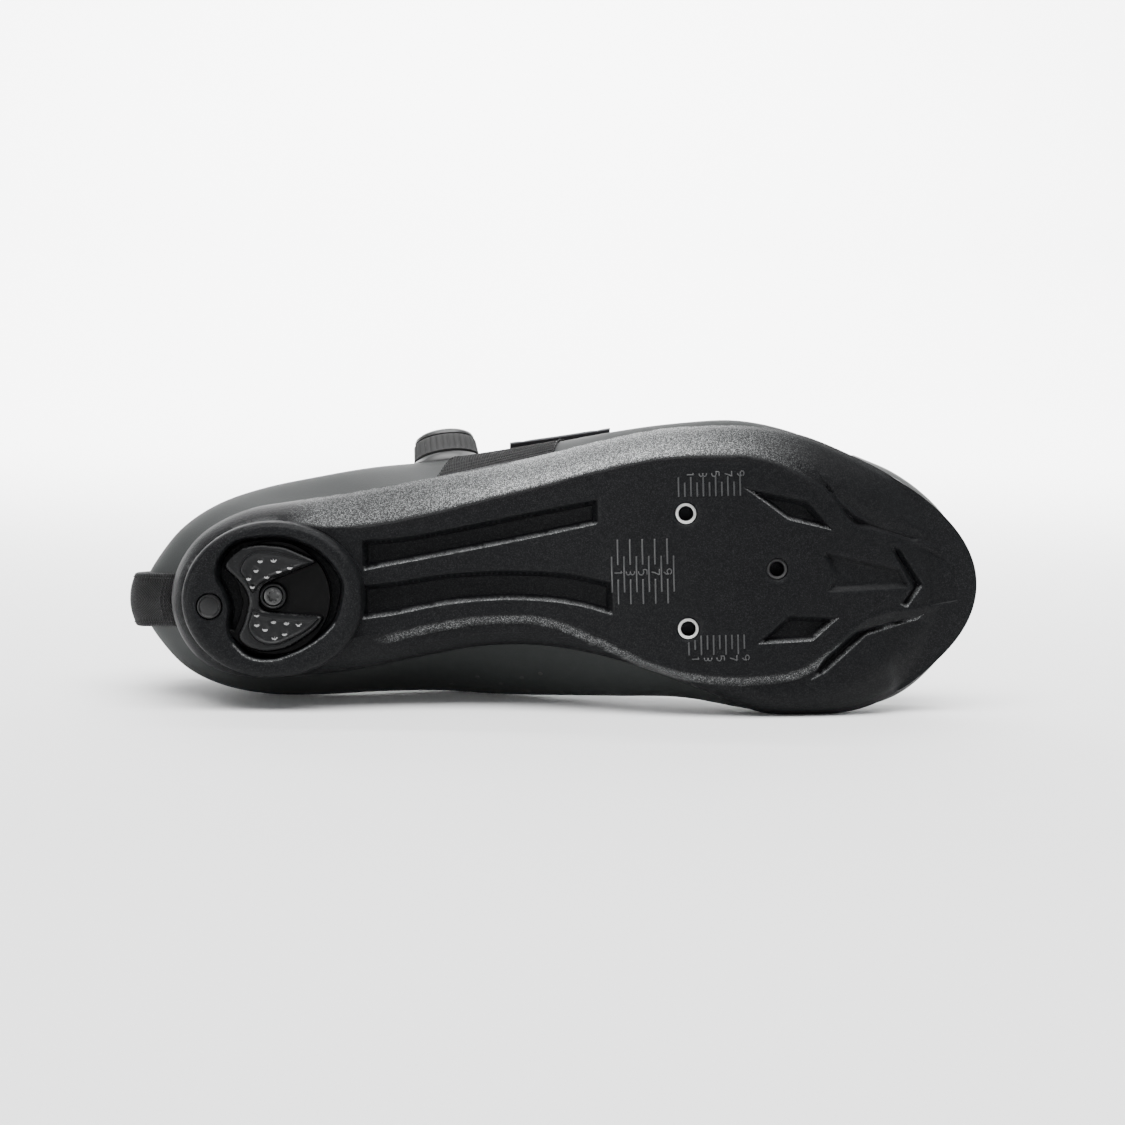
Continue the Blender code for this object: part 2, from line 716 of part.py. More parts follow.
def make_tongue(collection, finish):
    """The tongue under the throat. Its free end stands above the collar and leans back a little."""
    grids = []
    shares = np.linspace(TONGUE_SHARES[0], TONGUE_SHARES[1], 12)
    edges = np.interp(shares, *np.transpose(TONGUE_EDGE))
    for offset in (-(UPPER_WALL + 2 * FIT_GAP), -(UPPER_WALL + 2 * FIT_GAP + TONGUE_THICKNESS)):
        rows = [across_instep(share, edge, edge, offset, 4, 5) for share, edge in zip(shares, edges)]
        last = rows[-1]
        middle = last.mean(axis=0)
        for reach, wide, back in TONGUE_END:
            free = middle + (last - middle) * (1, wide, wide)
            rows.append(free + np.array([-back, 0, reach]) * INSTEP_HEIGHT)
        grids.append(np.array(rows))
    return sheet_solid("tongue", grids[0], grids[1], collection, finish)


def make_strap(name, shares, outer_rise, inner_rise, thickness, columns, collection, finish):
    """A strap over the throat, from one flap to the other."""
    grids = [
        np.array([across_instep(share, outer_rise, inner_rise, d) for share in np.linspace(*shares, columns)])
        for d in (FIT_GAP + thickness, FIT_GAP)
    ]
    return sheet_solid(name, grids[0], grids[1], collection, finish)


def make_heel_loop(collection, finish):
    """The pull loop of webbing behind the heel, standing off the upper between its two sewn ends."""
    rises = np.linspace(1.1, 3.7, 12)
    proud = LOOP_REACH * np.clip(1 - ((rises - 2.35) / 1.0) ** 2, 0, 1) ** 2
    across = np.linspace(-1, 1, 5)
    middle = upper_face(np.zeros_like(rises), rises, np.zeros_like(rises))
    away = outward(np.zeros_like(rises), rises)
    reach = np.linspace(0, 0.9, 60)
    side = np.abs(rib(reach[None, :], rises[:, None])[..., 1] - middle[:, None, 1])
    width = np.array([np.interp(LOOP_WIDTH / 2, row, reach) for row in side])
    turn = width[:, None] * across[None, :]
    rise = np.broadcast_to(rises[:, None], turn.shape)
    lift = np.broadcast_to(proud[:, None], turn.shape)[..., None] * away[:, None, :]
    grids = [
        upper_face(turn, rise, np.full(turn.shape, d)) + lift for d in (FIT_GAP + LOOP_THICKNESS, FIT_GAP)
    ]
    return sheet_solid("heel_loop", grids[0], grids[1], collection, finish)


def make_dial(collection, finish):
    """The closure dial on the outer flap: a seat that follows the flap, the knob and its cap."""
    turn, rise = float(turn_of(DIAL_PLACE[0])), DIAL_PLACE[1]
    centre = upper_face(turn, rise, 0.0)
    axis = outward(turn, rise)
    along = rib(turn + 0.01, rise) - rib(turn - 0.01, rise)
    along = along / np.linalg.norm(along)
    up = np.cross(axis, along)
    across_rate = np.linalg.norm(rib(turn + 0.01, rise) - rib(turn - 0.01, rise)) / 0.02
    up_rate = np.linalg.norm(rib(turn, rise + 0.01) - rib(turn, rise - 0.01)) / 0.02
    angles = np.linspace(0, 2 * math.pi, 28, endpoint=False)
    radius = DIAL_RADIUS + DIAL_FLANGE
    seat = [
        upper_face(
            turn + np.cos(angles) * radius * k / across_rate, rise + np.sin(angles) * radius * k / up_rate,
            np.full(28, FIT_GAP),
        )
        for k in (0.45, 1.0)
    ]
    top = (
        centre + axis * DIAL_SEAT
        + (np.cos(angles)[:, None] * along + np.sin(angles)[:, None] * up) * DIAL_RADIUS
    )
    points = np.concatenate([[upper_face(turn, rise, FIT_GAP)], seat[0], seat[1], top])
    faces = [(0, 1 + i, 1 + (i + 1) % 28) for i in range(28)]
    faces += quads(3, 28, 1, around=True)
    faces.append(tuple(range(57, 85)))
    new_object("dial_base", mesh_from("dial_base", points, faces), collection, finish)
    start = centre + axis * (DIAL_SEAT + FIT_GAP)
    knob = cylinder("dial_knob", start, axis, DIAL_RADIUS, DIAL_HEIGHT, collection, 32, DIAL_RADIUS * 0.94, finish)
    start = start + axis * (DIAL_HEIGHT + FIT_GAP)
    cap = cylinder(
        "dial_cap", start, axis, DIAL_RADIUS * 0.9, DIAL_CAP_HEIGHT, collection, 32, DIAL_RADIUS * 0.76, finish
    )
    return knob, cap


def make_cable(collection, finish):
    """The cable between the dial and the end of the instep strap: a loop of round section."""
    share, rise = DIAL_PLACE
    path = np.array([(share + a, rise + b) for a, b in CABLE_PATH])
    at = np.linspace(0, len(path) - 1, 25)
    knots = np.arange(len(path), dtype=float)
    shares, rises = smooth(knots, path[:, 0], at), smooth(knots, path[:, 1], at)
    line = upper_face(turn_of(shares), rises, np.full(25, FIT_GAP * 1.5 + CABLE_RADIUS))
    away = outward(turn_of(shares), rises)
    ahead = np.gradient(line, axis=0)
    ahead /= np.linalg.norm(ahead, axis=1, keepdims=True)
    aside = np.cross(ahead, away)
    aside /= np.linalg.norm(aside, axis=1, keepdims=True)
    up = np.cross(aside, ahead)
    angles = np.linspace(0, 2 * math.pi, 8, endpoint=False)
    rings = [
        p + (np.cos(angles)[:, None] * a + np.sin(angles)[:, None] * u) * CABLE_RADIUS
        for p, a, u in zip(line, aside, up)
    ]
    return ring_solid("closure_cable", rings, collection, finish)


def make_insole(collection, finish):
    """The loose insole on the cup's floor, inside the upper."""
    turns = ring_turns()
    rings = []
    for inset, height in ((0.2, 0.0), (0.0, 0.8), (0.8, 1.0)):
        x, y = outline(RIM_ENDS, RIM, turns, CUP_LIP + CUP_WALL + UPPER_WALL + 3 * FIT_GAP + inset * MM)
        rings.append(stacked(x, y, side_height(2, x) + FIT_GAP + height * INSOLE_THICKNESS))
    return ring_solid("insole", rings, collection, finish)


def pocket(name, corners, depth, draft, collection):
    """A cutter for a pocket in the sole's underside. Its floor follows the plateau at a depth above it, as one
    flat face, and its walls have a draft."""
    corners = scaled(corners)
    cutter = tapered_block(name, corners, 0.0, 1.0, draft, collection)
    first, last = corners[:, 0].min(), corners[:, 0].max()
    start, end = (float(side_height(1, x)) for x in (first, last))
    for vertex in cutter.data.vertices:
        level = start + (end - start) * (vertex.co.x - first) / (last - first)
        vertex.co.z = level + (depth if vertex.co.z > 0.5 else -6 * MM)
    return cutter


def channel(name, rows, depth, draft, collection):
    """A cutter for a long channel along the waist. Each row has its place along the shoe and its two sides."""
    rows = np.array(rows, float)
    along = np.linspace(rows[0, 0], rows[-1, 0], 13)
    ahead, back = (smooth(rows[:, 0], rows[:, k], along) * BALL_WIDTH for k in (1, 2))
    along = along * SHOE_LENGTH
    level = side_height(1, along)
    rings = [
        [(x, a - draft, z - 6 * MM), (x, b + draft, z - 6 * MM), (x, b - draft, z + depth), (x, a + draft, z + depth)]
        for x, a, b, z in zip(along, ahead, back, level)
    ]
    return ring_solid(name, rings, collection)


def make_outsole(collection, helpers, finish):
    """The stiff cup sole: plateau, side walls and cup, a round heel housing and the recesses cut in it."""
    turns = ring_turns()
    rings = []
    for inset in (1.6 * MM, 0.0):
        x, y = outline(PLATEAU_ENDS, PLATEAU, turns, inset)
        rings.append(stacked(x, y, side_height(1, x)))
    rim_x, rim_y = outline(RIM_ENDS, RIM, turns)
    rim_z = side_height(3, rim_x)
    edge = rings[-1]
    for out, up in SIDE_WALL:
        x, y = edge[:, 0] + (rim_x - edge[:, 0]) * out, edge[:, 1] + (rim_y - edge[:, 1]) * out
        rings.append(stacked(x, y, edge[:, 2] + (rim_z - edge[:, 2]) * up))
    for inset, place, drop in ((0.0, 3, ROUNDING), (ROUNDING, 3, 0.0), (CUP_LIP, 3, 0.0), (CUP_WALL + CUP_LIP, 2, 0.0)):
        x, y = outline(RIM_ENDS, RIM, turns, inset)
        rings.append(stacked(x, y, side_height(place, x) - drop))
    sole = ring_solid("outsole", rings, collection, finish)
    angles = np.linspace(0, 2 * math.pi, 48, endpoint=False)
    middle = scaled(HEEL_HOUSING)
    radii = np.array(HOUSING_RADII) * (SHOE_LENGTH, BALL_WIDTH)
    disc = [
        [(middle[0] - math.cos(a) * radii[0] * k, middle[1] - math.sin(a) * radii[1] * k, z * SOLE_DEPTH) for a in angles]
        for k, z in HOUSING_SECTION
    ]
    boolean(sole, ring_solid("heel_housing", disc, helpers), "UNION")
    boolean(sole, tapered_block("heel_cavity", scaled(HEEL_CAVITY), -3 * MM, HEEL_CAVITY_DEPTH, 0.8 * MM, helpers), "DIFFERENCE")
    for name, rows in WAIST_CHANNELS.items():
        boolean(sole, channel(name, rows, WAIST_CHANNEL_DEPTH, 0.7 * MM, helpers), "DIFFERENCE")
    for name, (corners, depth) in POCKETS.items():
        boolean(sole, pocket(name, corners, depth * SOLE_DEPTH, 0.7 * MM, helpers), "DIFFERENCE")
    for name, (x, y) in nut_places().items():
        z = float(side_height(1, x))
        hole = cylinder(
            f"seat_of_{name}", (x, y, z - 6 * MM), (0, 0, 1), NUT_OUTER + FIT_GAP,
            6 * MM + NUT_SINK + NUT_LENGTH + FIT_GAP, helpers,
        )
        boolean(sole, hole, "DIFFERENCE")
    x, y = scaled(PLUG_PLACE)
    boolean(
        sole, cylinder("seat_of_plug", (x, y, -4 * MM), (0, 0, 1), PLUG_RADIUS + FIT_GAP, 4 * MM + PLUG_DEPTH, helpers),
        "DIFFERENCE",
    )
    return sole


def make_nuts(collection, helpers, finish):
    """The three threaded inserts that take the cleat bolts."""
    for name, (x, y) in nut_places().items():
        z = float(side_height(1, x)) + NUT_SINK
        nut = cylinder(name, (x, y, z), (0, 0, 1), NUT_OUTER, NUT_LENGTH, collection, finish=finish)
        bore = cylinder(f"bore_of_{name}", (x, y, z - MM), (0, 0, 1), NUT_BORE, NUT_LENGTH + 2 * MM, helpers, 20)
        boolean(nut, bore, "DIFFERENCE")


def make_heel_pad(collection, helpers, rubber, steel):
    """The walking pad in the heel housing: a base plate with two lobes and a boss for its screw."""
    top = HEEL_CAVITY_DEPTH - FIT_GAP
    middle = scaled(PAD_MIDDLE)
    angles = np.radians(np.linspace(PAD_ARC[0], PAD_ARC[1], 21))
    round_side = middle + np.stack([np.cos(angles), np.sin(angles)], 1) * PAD_RADIUS
    corners = np.concatenate([round_side, scaled(PAD_BACK)])
    pad = flat_block("heel_pad", corners, PAD_STEP, top, collection)
    pad.data.materials.append(rubber)
    for name, lobe in PAD_LOBES.items():
        boolean(pad, tapered_block(name, scaled(lobe), PAD_STEP + 0.8 * MM, -PAD_PROUD, 0.0, helpers), "UNION")
    x, y = scaled(SCREW_PLACE)
    boss = cylinder("screw_boss", (x, y, 2 * MM), (0, 0, 1), SCREW_HEAD + 2 * MM, PAD_STEP, helpers)
    boolean(pad, boss, "UNION")
    seat = cylinder("screw_seat", (x, y, -2 * MM), (0, 0, 1), SCREW_HEAD + FIT_GAP, PAD_STEP + 3 * MM, helpers)
    boolean(pad, seat, "DIFFERENCE")
    screw = cylinder("heel_pad_screw", (x, y, PAD_STEP - 1.6 * MM), (0, 0, 1), SCREW_HEAD, 2.2 * MM, collection, finish=steel)
    slots = cylinder("screw_socket", (x, y, PAD_STEP - 2 * MM), (0, 0, 1), SCREW_HEAD * 0.45, 1.6 * MM, helpers, 6)
    boolean(screw, slots, "DIFFERENCE")
    x, y = scaled(PLUG_PLACE)
    cylinder("heel_plug", (x, y, 0.3 * MM), (0, 0, 1), PLUG_RADIUS, PLUG_DEPTH - 2 * FIT_GAP, collection, finish=rubber)


def lay_down(parts, helpers):
    """An empty that lays the whole shoe on its inner side, on the face of its hull under its middle. Of two
    such faces it takes the one that faces most to the inner side."""
    bpy.context.view_layer.update()
    graph = bpy.context.evaluated_depsgraph_get()
    cloud = []
    for part in parts:
        shape = part.evaluated_get(graph)
        mesh = shape.to_mesh()
        flat = np.empty(len(mesh.vertices) * 3)
        mesh.vertices.foreach_get("co", flat)
        cloud.append(flat.reshape(-1, 3))
        shape.to_mesh_clear()
    cloud = np.concatenate(cloud)
    hull = bmesh.new()
    for point in cloud:
        hull.verts.new(point)
    found = bmesh.ops.convex_hull(hull, input=hull.verts)
    triangles = [f for f in found["geom"] if isinstance(f, bmesh.types.BMFace)]
    middle = np.array(REST_MIDDLE) * (SHOE_LENGTH, BALL_WIDTH, INSTEP_HEIGHT)
    down = np.zeros(3)
    for face in triangles:
        normal = np.array(face.normal)
        corners = np.array([v.co for v in face.verts])
        if normal @ (corners[0] - middle) < 0:
            normal = -normal
        foot = middle + normal * (normal @ (corners[0] - middle))
        sides = [np.cross(corners[(i + 1) % 3] - corners[i], foot - corners[i]) @ normal for i in range(3)]
        if normal[1] > down[1] and (min(sides) >= 0 or max(sides) <= 0):
            down = normal
    hull.free()
    z = -down
    x = np.array([1.0, 0, 0]) - z * z[0]
    x /= np.linalg.norm(x)
    turned = np.array([x, np.cross(z, x), z])
    laid = cloud @ turned.T
    low, high = laid.min(axis=0), laid.max(axis=0)
    matrix = np.eye(4)
    matrix[:3, :3] = turned
    matrix[:3, 3] = -np.array([(low[0] + high[0]) / 2, (low[1] + high[1]) / 2, low[2]])
    holder = bpy.data.objects.new("shoe_on_its_side", None)
    bpy.context.scene.collection.objects.link(holder)
    holder.matrix_world = Matrix(matrix.tolist())
    for part in parts + helpers:
        part.parent = holder


def main():
    """Builds the shoe and lays it down."""
    for thing in list(bpy.data.objects):
        bpy.data.objects.remove(thing)
    scene = bpy.context.scene.collection
    shoe = bpy.data.collections.new("cycling_shoe")
    helpers = bpy.data.collections.new("helpers")
    scene.children.link(shoe)
    scene.children.link(helpers)
    composite = material("composite", BLACK, 0.35)
    microfibre = material("microfibre", GREY, 0.7)
    fabric = material("fabric", BLACK, 0.9)
    rubber = material("rubber", BLACK, 0.6)
    steel = material("steel", STEEL, 0.3, 1.0)
    make_outsole(shoe, helpers, composite)
    make_heel_pad(shoe, helpers, rubber, steel)
    make_nuts(shoe, helpers, steel)
    make_upper(shoe, microfibre)
    make_toe_cap(shoe, microfibre)
    make_insole(shoe, fabric)
    make_tongue(shoe, fabric)
    make_strap("forefoot_strap", FOREFOOT_STRAP[0], *FOREFOOT_STRAP[1], STRAP_THICKNESS, 5, shoe, microfibre)
    make_strap("instep_strap", INSTEP_STRAP[0], *INSTEP_STRAP[1], INSTEP_STRAP_THICKNESS, 5, shoe, fabric)
    make_dial(shoe, rubber)
    make_cable(shoe, steel)
    make_heel_loop(shoe, fabric)
    lay_down(list(shoe.objects), list(helpers.objects))


main()
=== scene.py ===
"""Looks of a road cycling shoe for the right foot, lying on its inner side with its sole towards the camera.

The shoe is shaped in the last's frame: X from heel to toe, Y towards the inner side and Z up from the sole.
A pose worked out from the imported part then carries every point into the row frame. Lengths are in metres.
"""

import logging
import math
from dataclasses import dataclass, field
from enum import Enum
from typing import Callable, Iterable, Sequence

import bmesh
import bpy
import numpy as np
from mathutils import Matrix, Vector
from mathutils.geometry import delaunay_2d_cdt


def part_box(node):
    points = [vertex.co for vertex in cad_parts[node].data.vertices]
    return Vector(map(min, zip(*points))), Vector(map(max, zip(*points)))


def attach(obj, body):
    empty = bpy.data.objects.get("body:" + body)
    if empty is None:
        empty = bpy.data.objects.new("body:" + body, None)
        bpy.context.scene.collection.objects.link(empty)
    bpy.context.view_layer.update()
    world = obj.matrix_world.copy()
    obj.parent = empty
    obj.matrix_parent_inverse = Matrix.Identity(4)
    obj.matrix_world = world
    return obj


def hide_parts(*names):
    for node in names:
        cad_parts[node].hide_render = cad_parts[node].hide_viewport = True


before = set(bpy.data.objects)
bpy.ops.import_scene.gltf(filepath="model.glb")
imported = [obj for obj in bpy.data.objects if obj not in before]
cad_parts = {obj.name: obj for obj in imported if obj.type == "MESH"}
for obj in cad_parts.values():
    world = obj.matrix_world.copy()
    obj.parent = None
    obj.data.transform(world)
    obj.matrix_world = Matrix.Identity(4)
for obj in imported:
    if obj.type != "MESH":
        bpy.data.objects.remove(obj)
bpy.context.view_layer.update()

LOG = logging.getLogger("shoe")
Array = np.ndarray
MM = 0.001

SHOE_LENGTH = 280 * MM
BALL_WIDTH = 90 * MM
INSTEP_HEIGHT = 94 * MM
SOLE_DEPTH = 20 * MM
FIT_GAP = 0.3 * MM
UPPER_WALL = 2.0 * MM
COLLAR_PAD = 2.6 * MM
CUP_LIP = 1.3 * MM
CUP_WALL = 3.2 * MM
ROUNDING = 0.6 * MM
NUT_SPACING = 37.5 * MM
NUT_REACH = 29.5 * MM
# How deep the round pieces lie under the sole's face, and how tall they are
NUT_SINK = 0.5 * MM
NUT_DEPTH = 4.6 * MM
PAD_PLATE = 4.6 * MM
SCREW_RISE = 1.6 * MM
SCREW_DEPTH = 2.2 * MM
PLUG_SINK = 0.3 * MM
PLUG_DEPTH = 2.5 * MM

# Outlines: share of the run from heel to toe, shift to the inner side, half width (of the ball width)
RIM_ENDS = (0.043, 1.0)
RIM = (
    (0.000, 0.000, 0.000), (0.049, -0.006, 0.256), (0.101, -0.020, 0.310), (0.160, -0.034, 0.322),
    (0.235, -0.060, 0.326), (0.310, -0.098, 0.324), (0.384, -0.134, 0.329), (0.459, -0.152, 0.352),
    (0.534, -0.154, 0.399), (0.597, -0.139, 0.447), (0.664, -0.104, 0.493), (0.720, -0.067, 0.524),
    (0.776, -0.043, 0.515), (0.840, -0.009, 0.473), (0.903, 0.004, 0.389), (0.951, 0.003, 0.280),
    (0.978, 0.004, 0.190), (1.000, 0.004, 0.000),
)
PLATEAU_ENDS = (0.061, 0.986)
PLATEAU = (
    (0.000, 0.000, 0.000), (0.031, -0.011, 0.144), (0.081, -0.022, 0.222), (0.135, -0.028, 0.239),
    (0.189, -0.044, 0.206), (0.247, -0.063, 0.200), (0.309, -0.097, 0.197), (0.388, -0.136, 0.210),
    (0.459, -0.151, 0.240), (0.529, -0.132, 0.307), (0.598, -0.102, 0.372), (0.668, -0.086, 0.396),
    (0.722, -0.078, 0.392), (0.776, -0.060, 0.349), (0.815, -0.058, 0.282), (0.861, -0.054, 0.188),
    (0.931, -0.034, 0.132), (0.977, -0.010, 0.092), (1.000, 0.000, 0.000),
)
BELLY_ENDS = (0.0, 0.998)
BELLY = (
    (0.000, 0.000, 0.000), (0.021, 0.000, 0.160), (0.050, -0.003, 0.262), (0.097, -0.011, 0.344),
    (0.150, -0.020, 0.387), (0.215, -0.036, 0.409), (0.286, -0.055, 0.424), (0.358, -0.061, 0.436),
    (0.429, -0.0655, 0.4575), (0.501, -0.076, 0.476), (0.572, -0.0905, 0.4925), (0.644, -0.1005, 0.5055),
    (0.715, -0.087, 0.525), (0.780, -0.056, 0.510), (0.844, -0.019, 0.457), (0.905, 0.000, 0.399),
    (0.955, 0.002, 0.287), (0.982, 0.003, 0.183), (1.000, 0.003, 0.000),
)
# The topline has the lean of its edge in degrees as a fourth column
TOPLINE_ENDS = (0.022, 0.943)
THROAT_END = 0.716
TOPLINE = (
    (0.000, 0.000, 0.000, 84), (0.020, -0.004, 0.144, 84), (0.070, -0.012, 0.256, 82),
    (0.147, -0.024, 0.300, 80), (0.225, -0.033, 0.311, 78), (0.291, -0.040, 0.289, 66),
    (0.341, -0.047, 0.233, 52), (0.376, -0.052, 0.183, 42), (0.438, -0.058, 0.150, 36),
    (0.516, -0.066, 0.133, 31), (0.593, -0.072, 0.111, 26), (0.651, -0.075, 0.078, 22),
    (0.690, -0.076, 0.040, 12), (0.716, -0.077, 0.000, 0), (0.800, -0.072, 0.000, 0),
    (0.900, -0.036, 0.000, 0), (1.000, 0.003, 0.000, 0),
)
# Heights along the shoe: plateau, cup floor and rim, as shares of the sole's depth
SIDE_VIEW = (
    (0.000, 0.280, 0.570, 0.860), (0.061, 0.250, 0.570, 0.860), (0.165, 0.200, 0.575, 0.875),
    (0.270, 0.300, 0.650, 0.950), (0.360, 0.430, 0.770, 1.040), (0.445, 0.430, 0.800, 1.070),
    (0.535, 0.270, 0.650, 0.880), (0.610, 0.100, 0.450, 0.690), (0.680, 0.000, 0.350, 0.600),
    (0.735, 0.030, 0.360, 0.600), (0.786, 0.140, 0.440, 0.680), (0.857, 0.430, 0.700, 0.890),
    (0.911, 0.710, 0.950, 1.120), (0.957, 1.010, 1.220, 1.370), (1.000, 1.280, 1.460, 1.600),
)
# Heights of the upper: belly, shoulder's share from rim to top, its share of the belly's width, top
UPPER_HEIGHTS = (
    (0.000, 0.420, 0.70, 0.93, 0.915), (0.050, 0.420, 0.70, 0.93, 0.905), (0.100, 0.420, 0.70, 0.93, 0.860),
    (0.165, 0.430, 0.72, 0.92, 0.760), (0.235, 0.440, 0.72, 0.91, 0.700), (0.295, 0.490, 0.73, 0.90, 0.760),
    (0.342, 0.520, 0.75, 0.86, 0.905), (0.375, 0.520, 0.76, 0.82, 0.985), (0.430, 0.490, 0.76, 0.78, 0.935),
    (0.500, 0.430, 0.77, 0.73, 0.835), (0.575, 0.340, 0.78, 0.69, 0.745), (0.650, 0.290, 0.80, 0.68, 0.665),
    (0.720, 0.262, 0.81, 0.69, 0.610), (0.800, 0.268, 0.82, 0.70, 0.575), (0.880, 0.315, 0.83, 0.70, 0.560),
    (0.950, 0.375, 0.83, 0.68, 0.553), (1.000, 0.415, 0.80, 0.66, 0.545),
)
SHOULDER_ENDS = (0.010, 0.982)

# Places on the sole as shares of the shoe's length and of the ball width
NUTS_MIDDLE = (0.646, -0.068)
PLUG_PLACE = (0.0925, 0.020)
SCREW_PLACE = (0.1656, -0.011)


def column(table: Sequence[Sequence[float]], place: int) -> Array:
    """One column of a table as an array."""
    return np.array([row[place] for row in table], float)


def cubic(here: Array, there: Array, leaving: Array, arriving: Array, t: Array) -> Array:
    """A Hermite cubic between two values with the slopes at both, at a share of the way."""
    return (
        here * (1 + 2 * t) * (1 - t) ** 2
        + leaving * t * (1 - t) ** 2
        + there * t**2 * (3 - 2 * t)
        + arriving * t**2 * (t - 1)
    )


def smooth(knots: Array, values: Array, at: Array) -> Array:
    """A cubic curve through values at knots.

    Each knot's slope is the mean of the slopes on its two sides, each weighted with the other side's step.

    Args:
        knots: Rising places of the values.
        values: The values there.
        at: Where the curve is read, kept between the first and the last knot.

    Returns:
        The curve's value at each place.
    """
    at = np.clip(np.asarray(at, float), knots[0], knots[-1])
    steps = np.diff(knots)
    rises = np.diff(values) / steps
    slopes = np.empty(len(knots))
    slopes[0], slopes[-1] = rises[0], rises[-1]
    slopes[1:-1] = (rises[:-1] * steps[1:] + rises[1:] * steps[:-1]) / (steps[:-1] + steps[1:])
    place = np.clip(np.searchsorted(knots, at, side="right") - 1, 0, len(steps) - 1)
    h = steps[place]
    t = (at - knots[place]) / h
    return cubic(values[place], values[place + 1], h * slopes[place], h * slopes[place + 1], t)


def ease(value: Array) -> Array:
    """A soft step: 0 up to 0, 1 from 1 on, and 3 v squared less 2 v cubed between."""
    value = np.clip(value, 0, 1)
    return value * value * (3 - 2 * value)


def unit(vectors: Array) -> Array:
    """Vectors scaled to length 1."""
    return vectors / np.maximum(np.linalg.norm(vectors, axis=-1, keepdims=True), 1e-12)


def stacked(x: Array, y: Array, z: Array) -> Array:
    """Three arrays as one array of points."""
    return np.stack(np.broadcast_arrays(x, y, z), axis=-1)


def full_turn(count: int) -> Array:
    """Angles at even steps round a circle."""
    return np.linspace(0, 2 * math.pi, count, endpoint=False)


def heading(angles: Array) -> Array:
    """Points on the unit circle in plan."""
    return np.stack([np.cos(angles), np.sin(angles)], 1)


def run_of(line: Array) -> Array:
    """The length of a line up to each of its points."""
    return np.concatenate([[0], np.cumsum(np.linalg.norm(np.diff(line, axis=0), axis=1))])


def scaled(points: Sequence[Sequence[float]]) -> Array:
    """Places on the sole's plan, from shares of the shoe's length and of the ball width."""
    return np.asarray(points, float) * (SHOE_LENGTH, BALL_WIDTH)


